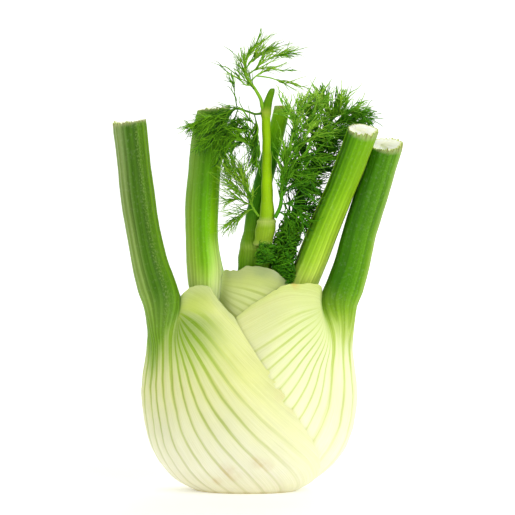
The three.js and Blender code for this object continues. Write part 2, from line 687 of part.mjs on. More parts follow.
for (const frond of fronds) {
  const draw = seededDraws(frond.seed);
  const solids = [];
  for (const line of frond.lines) {
    solids.push(toSolid(twigGeometry(line.curve, line.rootRadius, line.tipRadius, 4, line.steps)));
    solids.push(...setThreads(frond, line, draw));
  }
  addMesh(frond.name, toGeometry(wasm.Manifold.union(solids)), frond.colour, 0.55);
}

// Threads stand out all over the curly frond's lumps and lean upwards
function curlyThreads(rings, count, draw) {
  const solids = [];
  const bottom = rings[0][0];
  const top = rings[rings.length - 1][0];
  const part = (index) => ringGraph(rings.map((ring) => [...ring, ring[3]]), index);
  for (let i = 0; i < count; i++) {
    for (let attempt = 0; attempt < 6; attempt++) {
      const height = THREE.MathUtils.lerp(bottom + 1, top - 0.5, (i + draw()) / count);
      const turn = 2.4 * i + draw();
      const middle = new THREE.Vector3(part(1)(height), part(2)(height), height);
      const out = new THREE.Vector3(
        Math.cos(turn) * part(3)(height), Math.sin(turn) * part(4)(height), 0,
      );
      const root = middle.clone().addScaledVector(out, 0.7);
      const aim = out.clone().normalize().add(new THREE.Vector3(0, 0, draw() * 1.4 - 0.3)).normalize();
      const tip = middle.clone().add(out).addScaledVector(aim, curly.reach * (0.5 + 0.6 * draw()));
      const own = beadsAlong(middle.clone().add(out), tip, THREAD_ROOT, curly.name);
      if (!hasRoom(own, curly.name)) continue;
      beads.push(...own);
      solids.push(toSolid(twigGeometry(new THREE.LineCurve3(root, tip), THREAD_ROOT, THREAD_TIP, 3, 1)));
      break;
    }
  }
  return solids;
}

const drawCurly = seededDraws(curly.seed);
const curlySolids = [curly.stem, curly.bridge].map((points) =>
  toSolid(twigGeometry(asCurve(points), 0.9, 0.7, 4, 3)));
curly.lumps.forEach((rings, i) => {
  curlySolids.push(toSolid(stemGeometry(rings, 8)), ...curlyThreads(rings, curly.threads[i], drawCurly));
});
addMesh(curly.name, toGeometry(wasm.Manifold.union(curlySolids)), curly.colour, 0.55);

export default group;
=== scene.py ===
import math
from functools import partial
import bpy
import numpy as np
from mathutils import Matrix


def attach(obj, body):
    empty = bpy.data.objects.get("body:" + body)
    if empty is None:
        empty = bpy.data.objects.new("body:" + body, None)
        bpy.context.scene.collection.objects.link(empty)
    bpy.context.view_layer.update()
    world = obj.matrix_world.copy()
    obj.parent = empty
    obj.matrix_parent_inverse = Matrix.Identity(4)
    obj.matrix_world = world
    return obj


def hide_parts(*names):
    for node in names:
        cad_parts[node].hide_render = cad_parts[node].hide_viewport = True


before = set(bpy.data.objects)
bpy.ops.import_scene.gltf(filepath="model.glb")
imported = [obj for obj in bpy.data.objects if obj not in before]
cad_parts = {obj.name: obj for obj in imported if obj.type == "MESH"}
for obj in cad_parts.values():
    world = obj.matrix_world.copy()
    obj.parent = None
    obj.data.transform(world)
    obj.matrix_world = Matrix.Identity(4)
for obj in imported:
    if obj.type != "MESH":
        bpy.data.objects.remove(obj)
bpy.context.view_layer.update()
mm = 0.001
fullHeight = 200  # millimetres; heights in the materials are shares of it
print("frame loaded:", len(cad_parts), "solids")


def hexColour(code):  # sRGB hex to the linear colour that shaders take
    channels = [int(code[i:i + 2], 16) / 255 for i in (1, 3, 5)]
    linear = [c / 12.92 if c <= 0.04045 else ((c + 0.055) / 1.055) ** 2.4 for c in channels]
    return (*linear, 1.0)


def fillRamp(elements, stops):  # stops: (position, hex code) or (position, grey value)
    while len(elements) < len(stops):
        elements.new(0.5)
    for element, (place, colour) in zip(elements, stops):
        element.position = place
        element.color = hexColour(colour) if isinstance(colour, str) else (colour, colour, colour, 1)


# settings are the node's own values, and stops fill a colour ramp; links: socket name or _number
def addNode(tree, kind, settings=None, out=0, **links):
    node = tree.nodes.new("ShaderNode" + kind)
    for key, value in (settings or {}).items():
        if key == "stops":
            fillRamp(node.color_ramp.elements, value)
        else:
            setattr(node, key, value)
    for key, value in links.items():
        target = node.inputs[int(key[1:])] if key[0] == "_" else node.inputs[key.replace("_", " ")]
        if isinstance(value, bpy.types.NodeSocket):
            tree.links.new(value, target)
        else:
            target.default_value = value
    return node.outputs[out] if node.outputs else None


# settings that many nodes share
times = {"operation": "MULTIPLY"}
plus = {"operation": "ADD"}
minus = {"operation": "SUBTRACT"}
timesPlus = {"operation": "MULTIPLY_ADD"}
cosine = {"operation": "COSINE"}
blend = {"data_type": "RGBA"}
tint = {"data_type": "RGBA", "blend_type": "MULTIPLY"}
softStep = {"interpolation_type": "SMOOTHSTEP"}


def perMetre(size):  # noise scale for features of that many millimetres
    return 1 / (size * mm)


def newMaterial(name):
    material = bpy.data.materials.new(name)
    material.use_nodes = True
    material.node_tree.nodes.clear()
    return material, material.node_tree


# studio: camera at the photograph's height, white sweep, soft light from the right;
# aim, distance and view width in millimetres, lights and paper in metres
studio = {
    "aim": (3.9, 0, 108), "distance": 1200, "rise": 2.0, "viewWidth": 239, "sensor": 36,
    "sweepWhite": "#f7f7f5", "sweepGlow": (0.25, 0.62), "glowSpan": (0.1, 2.2), "dome": 0.4,
    "paperFront": -4, "paperBend": 1.6, "bendRadius": 0.8, "paperTop": 4, "paperHalf": 5, "bendSteps": 12,
    "keyPower": 9.5, "keyPlace": (0.75, -0.95, 0.75), "keySize": 0.9,
    "fillPower": 2.6, "fillPlace": (-0.9, -0.7, 0.5), "fillSize": 0.9,
    "rimPower": 3.0, "rimPlace": (0.2, 0.7, 0.9), "rimSize": 0.7,
}


def aimAt(obj, target):
    direction = np.array(target) - np.array(obj.location)
    yaw = math.atan2(direction[0], direction[1])
    pitch = math.atan2(direction[2], math.hypot(direction[0], direction[1]))
    obj.rotation_euler = (math.pi / 2 + pitch, 0, -yaw)


def addLight(name, place, power, size, target):
    data = bpy.data.lights.new(name, "AREA")
    data.energy = power
    data.size = size
    light = bpy.data.objects.new(name, data)
    bpy.context.scene.collection.objects.link(light)
    light.location = place
    aimAt(light, target)


# white studio paper: smooth matt sheet that glows a little, more towards the back, so it reads as white
def whitePaper(s):
    material, tree = newMaterial("whiteStudioPaper")
    add = partial(addNode, tree)
    depth = add("SeparateXYZ", out="Y", Vector=add("TexCoord", out="Object"))
    near, far = s["glowSpan"]
    low, high = s["sweepGlow"]
    glow = add("MapRange", Value=depth, From_Min=near, From_Max=far, To_Min=low, To_Max=high)
    shader = add("BsdfPrincipled", Base_Color=hexColour(s["sweepWhite"]), Roughness=0.9,
                 Emission_Color=(1, 1, 1, 1), Emission_Strength=glow)
    add("OutputMaterial", Surface=shader)
    return material


def buildPaper(s):  # floor, a bend, then a wall
    bend, radius, steps = s["paperBend"], s["bendRadius"], s["bendSteps"]
    turns = [i / steps * math.pi / 2 for i in range(steps + 1)]
    profile = [(s["paperFront"], 0)]
    profile += [(bend + radius * math.sin(t), radius - radius * math.cos(t)) for t in turns]
    profile += [(bend + radius, s["paperTop"])]
    points = [(x, y, z) for y, z in profile for x in (-s["paperHalf"], s["paperHalf"])]
    faces = [(2 * i, 2 * i + 1, 2 * i + 3, 2 * i + 2) for i in range(len(profile) - 1)]
    mesh = bpy.data.meshes.new("paperSweep")
    mesh.from_pydata(points, [], faces)
    mesh.shade_smooth()
    mesh.materials.append(whitePaper(s))
    sweep = bpy.data.objects.new("paperSweep", mesh)
    bpy.context.scene.collection.objects.link(sweep)


def buildStudio(s):
    aim = np.array(s["aim"]) * mm
    rise = math.radians(s["rise"])
    data = bpy.data.cameras.new("photoCamera")
    data.sensor_width = s["sensor"]
    data.lens = s["sensor"] * s["distance"] / s["viewWidth"]
    data.clip_start = 0.01
    camera = bpy.data.objects.new("photoCamera", data)
    bpy.context.scene.collection.objects.link(camera)
    back = np.array([0, -math.cos(rise), math.sin(rise)]) * s["distance"] * mm
    camera.location = aim + back
    aimAt(camera, aim)
    bpy.context.scene.camera = camera
    bpy.context.scene.view_settings.view_transform = "Standard"

    world = bpy.data.worlds.new("softDome")
    bpy.context.scene.world = world
    world.use_nodes = True
    world.node_tree.nodes["Background"].inputs[0].default_value = (1, 1, 1, 1)
    world.node_tree.nodes["Background"].inputs[1].default_value = s["dome"]
    for key in ("key", "fill", "rim"):
        addLight(key + "Light", s[key + "Place"], s[key + "Power"], s[key + "Size"], aim)
    buildPaper(s)


buildStudio(studio)
print("studio ready")


def graph(pairs):  # smooth curve through (input, value) pairs, level beyond its ends
    xs = np.array([p[0] for p in pairs], float)
    ys = np.array([p[1] for p in pairs], float)
    slopes = np.empty(len(xs))
    slopes[1:-1] = (ys[2:] - ys[:-2]) / (xs[2:] - xs[:-2])
    slopes[0] = (ys[1] - ys[0]) / (xs[1] - xs[0])
    slopes[-1] = (ys[-1] - ys[-2]) / (xs[-1] - xs[-2])

    def value(x):
        x = np.clip(x, xs[0], xs[-1])
        i = np.clip(np.searchsorted(xs, x, side="left") - 1, 0, len(xs) - 2)
        span = xs[i + 1] - xs[i]
        t = (x - xs[i]) / span
        line = ys[i] + (ys[i + 1] - ys[i]) * t * t * (3 - 2 * t)
        return line + (1 - t) * t * span * (slopes[i] * (1 - t) - slopes[i + 1] * t)
    return value


def smooth(x, low, high):
    t = np.clip((x - low) / (high - low), 0, 1)
    return t * t * (3 - 2 * t)


def unit(v):
    return v / np.maximum(np.linalg.norm(v, axis=-1, keepdims=True), 1e-9)


def ripple(points, size, seed, count=7):  # soft seeded unevenness, about -1 to 1, lumps of that size in mm
    draw = np.random.RandomState(seed)
    total = np.zeros(points.shape[:-1])
    for _ in range(count):
        wave = unit(draw.normal(size=3)) * 2 * math.pi / (size * draw.uniform(0.7, 1.6))
        total += np.sin(points @ wave + draw.uniform(0, 2 * math.pi))
    return total / math.sqrt(count)


# bulb: outline and how the leaves lie in it, in millimetres, and what their ribs and margins share
bulb = {
    "width": 101.8, "depth": 70, "edge": 0.8, "stalkFlank": 150, "fullFlank": 172, "cutSpan": 6,
    "widthShare": graph([(0, .475), (4, .628), (9, .748), (15, .845), (23, .93), (32, .98), (45, 1),
                         (58, .983), (68, .957), (78, .922), (88, .842), (98, .722), (110, .57)]),
    "depthShare": graph([(0, .485), (4, .63), (9, .745), (15, .84), (23, .935), (32, .985), (45, 1),
                         (58, .945), (68, .85), (78, .725), (88, .59), (98, .47), (110, .355)]),
    "shift": graph([(0, -.8), (5, -.8), (10, -.3), (20, .5), (34, 1), (110, 1)]),
    "ribHeight": 0.36, "ribPower": 0.7, "ribLevel": 0.6, "thinEdge": 0.45, "hugSpan": (0.72, 1.0),
    "lumps": ((0.3, 22), (0.1, 7)), "lumpSpan": (2, 10), "tearDepth": 0.035, "tearFade": 4, "tearEnd": 110,
    "footFlank": 70, "flankSpan": 300, "blendStart": 56, "blendEnd": 96, "hoodSpan": (-22, 5),
    "hoodThin": 0.93, "ribBunch": 1.5, "fanWidth": 40, "lineFade": (10, 28), "hoodFade": 4,
    "tongueLimit": 1.5, "greenFade": 0.2, "fanReach": (5, 38), "fanTop": (-8, 3), "fraySpan": (-1.8, -0.2),
    "notches": 90, "tears": 140, "stalkRows": 60,
    "cutRings": (1, 0.97, 0.9, 0.75, 0.5, 0.25, 0.01), "cutDish": 0.3, "cutLumps": (0.12, 2.2),
}

# leaves, outermost first; across a leaf u is -1 at the back margin, 0 at the midrib, 1 at the front
leaves = [
    {
        "name": "leaf_outer_left", "side": 1, "midrib": 205, "ribs": 11.1, "stalkRibs": 4,
        "gap": lambda z: 1.0 + 0 * z, "hug": 1.0, "meet": 85, "wingFade": 0.4, "seed": 3,
        "lines": 9.4, "lineStart": (1, 7), "bunch": 1.5, "linesEnd": (0.87, 1.22), "fan": 15, "apex": 81,
        "tongue": 22, "fanGreen": 0.55, "greenSpan": (38, 73), "lip": 7.0,
        "freeSpan": (68, 96), "openSpan": (61, 93), "ragged": 0.35, "torn": (38, 60),
        "frontSpread": lambda z: 190 / (1 + z / 35), "backSpread": lambda z: 230 / (1 + z / 60),
        "frontEdge": graph([(0, .78), (15, .87), (34, .96), (50, 1.01), (64, 1.02), (75, .99), (86, .95)]),
        "backEdge": graph([(0, .68), (20, .86), (45, 1), (97, 1)]),
        "thickness": graph([(0, 2.6), (12, 4.4), (28, 6.2), (55, 7.2), (75, 9), (95, 13)]),
        "top": graph([(-1, 72), (-.75, 83), (-.5, 85), (-.3, 84), (.29, 88), (.42, 90), (.5, 92.6),
                      (.57, 94.7), (.65, 95.4), (.73, 94.7), (.78, 92.4), (.84, 89.4), (.91, 86.4),
                      (1, 81.5)]),
        "stalkX": graph([(45, -36), (75, -39.8), (90, -41.4), (104, -45.3), (116, -48), (134, -51),
                         (170.8, -55.2)]),
        "stalkY": graph([(45, -10), (75, -9), (90, -8), (120, -6), (170.8, -4)]),
        "stalkRadius": graph([(45, 9), (75, 9.6), (90, 9.2), (104, 8.3), (120, 7.9), (170.8, 7.6)]),
        "tip": 170.8, "cut": (0.09, 0.05, 0), "columns": (84, 104), "rows": 96, "rowPower": 1.15,
    },
    {
        "name": "leaf_outer_right", "side": -1, "midrib": 342, "ribs": 7.5, "stalkRibs": 3,
        "gap": lambda z: 1.5 + 0 * z, "hug": 0.9, "meet": 86, "wingFade": 0.4, "seed": 5,
        "lines": 12.0, "lineStart": (3, 26), "bunch": 0.6, "linesEnd": (2.4, 3.0), "fan": 56, "apex": 84,
        "tongue": 6, "fanGreen": 0.2, "greenSpan": (48, 88), "lip": 6.0,
        "freeSpan": (74, 98), "openSpan": (62, 94), "ragged": 0.35, "torn": (0, 0),
        "frontSpread": lambda z: 190 / (1 + z / 35), "backSpread": lambda z: 230 / (1 + z / 60),
        "frontEdge": graph([(0, .78), (15, .9), (45, 1.08), (70, 1.3), (82, 1.42), (97, 1.38)]),
        "backEdge": graph([(0, .66), (20, .86), (45, 1), (97, 1)]),
        "thickness": graph([(0, 2.6), (12, 4.2), (28, 6), (55, 7), (75, 9), (95, 13)]),
        "top": graph([(-1, 70), (-.75, 82), (-.5, 84.5), (-.33, 85), (.33, 88.5), (.4, 90.5), (.46, 94.2),
                      (.54, 95.8), (.64, 96.4), (.73, 96), (.8, 94.6), (.88, 91.6), (.94, 87.8), (1, 82)]),
        "stalkX": graph([(45, 36), (75, 41), (89, 42.5), (104, 47.1), (121, 51.2), (141, 57.4),
                         (160.4, 63.2)]),
        "stalkY": graph([(45, -8), (75, -7), (90, -6), (120, -7), (160.4, -11.4)]),
        "stalkRadius": graph([(45, 9), (75, 9.6), (89, 9.2), (104, 8.2), (121, 7.9), (160.4, 7.3)]),
        "tip": 160.4, "cut": (0.12, 0.34, 0), "columns": (76, 92), "rows": 96, "rowPower": 1.15,
    },
    {
        "name": "leaf_inner_left", "side": 1, "midrib": 190, "ribs": 9, "stalkRibs": 4,
        "gap": lambda z: 1 + 2 * smooth(z, 15, 50), "hug": 0.6, "meet": 93, "wingFade": 0.26, "seed": 7,
        "lines": 12, "lineStart": (2, 14), "bunch": 1.5, "linesEnd": (1.4, 1.9), "fan": 20, "apex": 93,
        "tongue": 0, "fanGreen": 0.25, "greenSpan": (76, 98), "lip": 7.0,
        "freeSpan": (86, 108), "openSpan": (68, 110), "ragged": 0.8, "torn": (0, 0),
        "frontSpread": lambda z: 230 / (1 + z / 100), "backSpread": lambda z: 210 / (1 + z / 90),
        "frontEdge": graph([(0, .62), (45, .86), (85, 1), (110, 1.04)]),
        "backEdge": graph([(0, .66), (45, .9), (85, .95), (110, .95)]),
        "thickness": graph([(0, 2.4), (12, 4), (28, 6), (55, 7.5), (75, 8.5), (95, 12)]),
        "top": graph([(-1, 78), (-.7, 92), (-.45, 94), (.37, 97.5), (.46, 98.6), (.51, 101.4), (.57, 102),
                      (.66, 104.2), (.76, 104.6), (.84, 103.2), (.92, 99.6), (1, 96.5)]),
        "stalkX": graph([(45, -24), (75, -18), (86, -17), (97, -19.5), (112, -21.6), (128, -21.9),
                         (145, -20.9), (160, -19.3), (176.5, -16.3)]),
        "stalkY": graph([(45, 0), (75, .5), (97, 1), (120, 1), (176.5, 2)]),
        "stalkRadius": graph([(45, 8), (80, 9), (88, 9.1), (97, 8.6), (112, 7.8), (130, 7.6),
                              (176.5, 7.7)]),
        "tip": 177.2, "cut": (0.15, 0.02, 0), "columns": (56, 72), "rows": 60, "rowPower": 0.6,
    },
    {
        "name": "leaf_inner_right", "side": -1, "midrib": 350, "ribs": 9, "stalkRibs": 4,
        "gap": lambda z: 1.0 + 0 * z, "hug": 0.6, "meet": 92, "wingFade": 0.4, "seed": 9,
        "lines": 9, "lineStart": (1, 7), "bunch": 1.5, "linesEnd": (1.0, 1.4), "fan": 14, "apex": 92,
        "tongue": 0, "fanGreen": 0.3, "greenSpan": (78, 100), "lip": 3.0,
        "freeSpan": (88, 110), "openSpan": (68, 100), "ragged": 0.35, "torn": (0, 0),
        "frontSpread": lambda z: 210 / (1 + z / 90), "backSpread": lambda z: 230 / (1 + z / 100),
        "frontEdge": graph([(0, .6), (45, .8), (85, .84), (110, .84)]),
        "backEdge": graph([(0, .62), (45, .9), (85, 1), (110, 1)]),
        "thickness": graph([(0, 2.2), (12, 3.6), (28, 5.5), (55, 7), (75, 8), (95, 11)]),
        "top": graph([(-1, 82), (-.7, 94), (-.5, 95.5), (-.37, 93), (.37, 92.5), (.5, 92), (.7, 86),
                      (1, 72)]),
        "stalkX": graph([(45, 25), (75, 22), (90, 22.8), (107, 29.1), (125.7, 36.2), (144, 43.6),
                         (167, 52)]),
        "stalkY": graph([(45, 1), (75, 1.4), (95, 1.7), (125, -7.4), (167, -22)]),
        "stalkRadius": graph([(45, 7.5), (95, 7.1), (125, 6.9), (167, 6.8)]),
        "tip": 167, "cut": (0.05, 0.2, 0), "columns": (56, 72), "rows": 56, "rowPower": 0.6,
    },
]

for leaf in leaves:
    leaf["stalkEdge"] = (math.exp(leaf["stalkRibs"] / leaf["ribs"]) - 1) / bulb["ribBunch"]


def spreadOf(leaf, u, z):
    return np.radians(np.where(u > 0, leaf["frontSpread"](z), leaf["backSpread"](z)))


def fleshOf(leaf, u, z, edge):
    fall = np.maximum(0, 1 - u * u) ** 1.3
    return edge + (leaf["thickness"](z) - edge) * fall


def onBulb(angle, z, inset):
    x = bulb["shift"](z) + (bulb["widthShare"](z) * bulb["width"] / 2 - inset) * np.cos(angle)
    y = (bulb["depthShare"](z) * bulb["depth"] / 2 - inset) * np.sin(angle)
    return np.stack([x, y, z], -1)


def insetOf(leaf, angle, z):  # a leaf lies under all the leaves that wrap it
    inset = 0 * z
    for outer in leaves:
        if outer is leaf:
            break
        midrib = math.radians(outer["midrib"])
        turn = outer["side"] * np.arctan2(np.sin(angle - midrib), np.cos(angle - midrib))
        across = turn / spreadOf(outer, turn, z)
        inset = inset + fleshOf(outer, across, z, bulb["edge"]) + outer["gap"](z)
    return inset


def axisPoint(leaf, v):
    return np.stack([leaf["stalkX"](v), leaf["stalkY"](v), v], -1)


def stalkPoint(leaf, u, v, isInner, relief):
    along = unit(axisPoint(leaf, v + 1) - axisPoint(leaf, v - 1))
    midrib = math.radians(leaf["midrib"])
    out = np.array([math.cos(midrib), math.sin(midrib), 0])
    out = unit(out - along * (along @ out)[..., None])
    across = np.cross(along, out) * leaf["side"]
    share = np.clip(u / leaf["stalkEdge"], -1, 1)
    opening = smooth(v, *leaf["openSpan"])  # below the hood the stalk lies open as the sheath
    flank = bulb["footFlank"] + (bulb["stalkFlank"] - bulb["footFlank"]) * opening
    turn = np.radians(180 - share * (bulb["fullFlank"] - flank) if isInner else share * flank)
    radius = leaf["stalkRadius"](v) + relief
    arm = out * (np.cos(turn) * radius)[..., None] + across * (np.sin(turn) * radius)[..., None]
    trim = smooth(v, leaf["tip"] - bulb["cutSpan"], leaf["tip"]) * (arm @ np.array(leaf["cut"]))
    return axisPoint(leaf, v) + arm + along * trim[..., None]


def ribField(leaf, u, z):  # ribs of a wing stream out of one point at the foot of the stalk, then run down
    edge = leaf["stalkEdge"]
    beyond = np.maximum(np.abs(u) - edge, 0)
    across = beyond * bulb["fanWidth"]
    drop = leaf["apex"] - z
    away = np.hypot(across, drop)
    label = np.abs(u) + leaf["fan"] / bulb["fanWidth"] * np.arctan2(across, drop) * (beyond > 0)
    strength = 1 - smooth(label, *leaf["linesEnd"]) * smooth(away, *bulb["lineFade"])
    onWing = smooth(away, *leaf["lineStart"]) * (1 - smooth(-drop, 0, bulb["hoodFade"]))
    strength = strength * np.where(beyond > 0, onWing, 1)
    rise = leaf["tongue"] * np.minimum(np.abs(u) / edge, bulb["tongueLimit"])
    stalkGreen = smooth(z - rise, *leaf["greenSpan"]) * (1 - smooth(beyond, 0, bulb["greenFade"]))
    fanGreen = leaf["fanGreen"] * (1 - smooth(away, *bulb["fanReach"])) * smooth(drop, *bulb["fanTop"])
    rib = np.sign(u) * leaf["lines"] * np.log(1 + leaf["bunch"] * label)
    return rib, strength, np.maximum(stalkGreen, fanGreen)


def leafFaces(leaf, u, z, w):  # outer and inner skin of a leaf, and what its material needs to know
    rib, strength, green = ribField(leaf, u, z)
    edge = leaf["stalkEdge"]
    thinEdge = bulb["thinEdge"]
    wing = 1 - smooth(np.abs(u), edge, edge + leaf["wingFade"])
    toStalk = smooth(z, bulb["blendStart"], bulb["blendEnd"]) * wing
    band = np.abs(np.sin(math.pi * rib)) ** bulb["ribPower"]  # 0 on a rib's line, 1 between ribs
    fine = np.abs(np.sin(2 * math.pi * rib)) ** bulb["ribPower"]
    relief = bulb["ribHeight"] * (band + (fine - band) * toStalk - bulb["ribLevel"]) * strength
    angle = math.radians(leaf["midrib"]) + leaf["side"] * u * spreadOf(leaf, u, z)
    inset = insetOf(leaf, angle, z)
    hug = leaf["hug"] * smooth(np.abs(w), *bulb["hugSpan"])  # thin margins lie down on what they wrap
    place = onBulb(angle, z, inset)
    uneven = 0
    for i, (tall, wide) in enumerate(bulb["lumps"]):
        uneven = uneven + tall * ripple(place, wide, leaf["seed"] + i)
    uneven = uneven * smooth(z, *bulb["lumpSpan"])
    sheath = onBulb(angle, z, inset + hug - relief - uneven * (1 - 0.5 * np.abs(w)))
    stalk = stalkPoint(leaf, u, z, False, relief + 0.5 * uneven)
    outer = sheath + (stalk - sheath) * toStalk[..., None]
    flesh = fleshOf(leaf, u, z, thinEdge)
    outward = onBulb(angle, z, 0 * z) - onBulb(angle, z, 0 * z + 1)
    hood = smooth(z, leaf["meet"] + bulb["hoodSpan"][0], leaf["meet"] + bulb["hoodSpan"][1])
    thin = thinEdge + (flesh - thinEdge) * (1 - bulb["hoodThin"] * np.maximum(toStalk, hood))
    innerWing = outer - outward * thin[..., None]
    innerStalk = stalkPoint(leaf, u, z, True, 0.3 * uneven - 0.3 * smooth(np.abs(u), 0, edge))
    innerMid = onBulb(angle, z, inset + flesh)
    innerMid = innerMid + (innerStalk - innerMid) * toStalk[..., None]
    inner = np.where((np.abs(u) <= edge)[..., None], innerMid, innerWing)
    traits = {
        "rib": rib, "ribStrength": strength, "green": green, "height": z / fullHeight,
        "flank": np.clip(u / edge, -1, 1) * bulb["stalkFlank"] / bulb["flankSpan"] + 0.5,
        "free": smooth(z, *leaf["freeSpan"]),
        "frayed": smooth(z, leaf["tip"] + bulb["fraySpan"][0], leaf["tip"] + bulb["fraySpan"][1]),
    }
    return outer, inner, traits


def leafGrid(leaf):  # columns from the back margin to the front; rows of the sheath, then of the stalk
    edge = leaf["stalkEdge"]
    back, front = (np.concatenate([np.linspace(0, edge, n // 2, endpoint=False),
                                   np.linspace(edge, 1, n - n // 2)]) for n in leaf["columns"])
    w = np.concatenate([-back[::-1], front[1:]])
    sheathRows = np.linspace(0, 1, leaf["rows"]) ** leaf["rowPower"]
    stalkRows = np.linspace(0, 1, bulb["stalkRows"] + 1)[1:]
    draw = np.random.RandomState(leaf["seed"])
    notches, tears = bulb["notches"], bulb["tears"]
    ragged = np.interp(w, np.linspace(-1, 1, notches), draw.uniform(-1, 1, notches))
    top = leaf["top"](w) + leaf["ragged"] * ragged * smooth(np.abs(w), edge, edge + 0.1)
    fray = 0.7 * draw.uniform(-1, 1, len(w)) ** 3 + 0.4 * draw.uniform(-1, 1, len(w))
    tips = leaf["tip"] + fray  # torn fibres
    z = np.concatenate([sheathRows[:, None] * top, top + stalkRows[:, None] * (tips - top)])
    w = np.broadcast_to(w, z.shape)
    reach = np.where(w > 0, leaf["frontEdge"](z), leaf["backEdge"](z))
    low, high = leaf["torn"]
    tear = np.interp(z, np.linspace(0, bulb["tearEnd"], tears), draw.uniform(-1, 1, tears))
    tear = tear * (smooth(z, low, low + bulb["tearFade"]) - smooth(z, high - bulb["tearFade"], high))
    reach = reach + bulb["tearDepth"] * tear * (w > 0)
    isSheath = (np.arange(len(z)) < leaf["rows"])[:, None]
    u = np.where(isSheath, w + (reach - 1) * w ** 3, w)
    lip = (1 - smooth(top - z, 0, leaf["lip"])) * smooth(np.abs(w), edge, edge + 0.05) * isSheath
    return u, z, w, lip


def addCut(points, faces, values, loop, shape, seed, isTop):  # rings drawn in from the edge of a cut
    start = sum(len(p) for p in points)
    tall, wide = shape["cutLumps"]
    rings = shape["cutRings"]
    loop = loop if isTop else loop[::-1]
    centre = loop.mean(0)
    n = len(loop)
    for scale in rings:
        spread = centre + (loop - centre) * scale
        lumps = tall * ripple(spread, wide, seed) * (scale < 1)
        spread[:, 2] += lumps - shape["cutDish"] * (1 - scale) * isTop
        points.append(spread)
        for key in values:
            fill = {"cut": 1.0, "margin": scale, "height": loop[0, 2] / fullHeight}.get(key, 0.0)
            values[key].append(np.full(n, fill))
    i = np.arange(n)
    for ring in range(len(rings) - 1):
        a, b = start + ring * n, start + (ring + 1) * n
        faces.append(np.stack([a + i, a + (i + 1) % n, b + (i + 1) % n, b + i], -1))


def buildLeaf(leaf):
    u, z, w, lip = leafGrid(leaf)
    outer, inner, traits = leafFaces(leaf, u, z, w)
    traits["lip"] = lip
    traits["margin"] = np.abs(w)
    rows, columns = z.shape
    n = rows * columns
    middle = np.abs(w[0, :-1] + w[0, 1:]) / 2 < leaf["stalkEdge"]
    present = np.ones((rows - 1, columns - 1), bool)
    present[leaf["rows"] - 1:, ~middle] = False

    points, faces = [outer.reshape(-1, 3), inner.reshape(-1, 3)], []
    values = {key: [value.ravel(), value.ravel()] for key, value in traits.items()}
    values["inside"] = [np.zeros(n), np.ones(n)]
    values["cut"] = [np.zeros(n), np.zeros(n)]
    index = np.arange(n).reshape(rows, columns)
    r, c = np.nonzero(present)
    quads = np.stack([index[r, c], index[r, c + 1], index[r + 1, c + 1], index[r + 1, c]], -1)
    faces += [quads, quads[:, ::-1] + n]
    padded = np.pad(present, 1)
    for dr, dc, a, b in ((0, 1, (0, 1), (1, 1)), (0, -1, (1, 0), (0, 0)), (1, 0, (1, 1), (1, 0))):
        gone = ~padded[1 + r + dr, 1 + c + dc] & ~((dr == 1) & (r == rows - 2))
        p = index[r[gone] + a[0], c[gone] + a[1]]
        q = index[r[gone] + b[0], c[gone] + b[1]]
        faces.append(np.stack([q, p, p + n, q + n], -1))  # rims join the two skins

    stalkColumns = np.nonzero(np.append(middle, False) | np.insert(middle, 0, False))[0]
    loop = np.concatenate([outer[-1, stalkColumns], inner[-1, stalkColumns][::-1]])
    addCut(points, faces, values, loop, bulb, leaf["seed"], True)
    start = sum(len(p) for p in points)
    points += [outer[0], inner[0]]
    for key in values:
        fill = {"cut": 1.0, "margin": 0.5}.get(key, 0.0)
        values[key] += [np.full(columns, fill), np.full(columns, fill)]
    j = np.arange(columns - 1)
    faces.append(np.stack([start + j + 1, start + j, start + columns + j, start + columns + j + 1], -1))

    allFaces = np.concatenate(faces)[:, ::leaf["side"]]
    return makeObject(leaf["name"] + "_skin", np.concatenate(points), allFaces,
                      {key: np.concatenate(value) for key, value in values.items()})


def makeObject(name, points, faces, traits, sharp=55):
    used, compact = np.unique(faces, return_inverse=True)
    faces = compact.reshape(faces.shape)
    mesh = bpy.data.meshes.new(name)
    mesh.from_pydata((points[used] * mm).tolist(), [], faces.tolist())
    for key, value in traits.items():
        mesh.attributes.new(key, "FLOAT", "POINT").data.foreach_set("value", value[used].astype(np.float32))
    mesh.shade_smooth()
    mesh.set_sharp_from_angle(angle=math.radians(sharp))
    mesh.validate()
    obj = bpy.data.objects.new(name, mesh)
    bpy.context.scene.collection.objects.link(obj)
    return obj


fleshTraits = ("rib", "ribStrength", "green", "flank", "free", "frayed", "lip", "height", "margin", "inside",
               "cut")

# sizes of the flesh's patterns: millimetres, or repeats across a rib or a stalk and up the full height
fleshGrain = {
    "mottle": 16.7, "fleck": 1.43, "worn": 3.85,
    "fibre": (9, 8), "hair": (26, 14), "streak": (34, 2.5), "dot": (60, 200),
}

# tints that all the flesh shares
fleshTints = {
    "footHighlight": "#eaf4bc", "ridge": "#acbe7c", "bleached": "#d8dfa4", "browned": "#6f5a28",
    "streak": [(0.3, "#d4dcb4"), (0.62, "#ffffff")], "hair": [(0.3, "#e8ead4"), (0.6, "#ffffff")],
    "pith": [(0.0, "#f2f4cc"), (0.55, "#fbfdea"), (0.84, "#fdfff0"), (0.93, "#e4ec9c"), (0.985, "#86a93c")],
    "pithFleck": "#dcd49a", "rootCut": "#d9c590", "rootBrown": "#a07f4c",
}

# what a piece has unless its own entry says otherwise
plainFlesh = {
    "marginTop": [(0, 1.0), (1, 1.0)], "marginSpan": (0.72, 0.97), "lip": "#dfe79a", "lipShow": 0.0,
    "footHighlight": [(0, 0.0), (1, 0.0)], "across": [(0, "#ffffff"), (1, "#ffffff")],
    "dots": [(0, 0.0), (1, 0.0)], "dotColour": "#c4e26a", "soak": 0.25, "stainsAndShade": [],
}


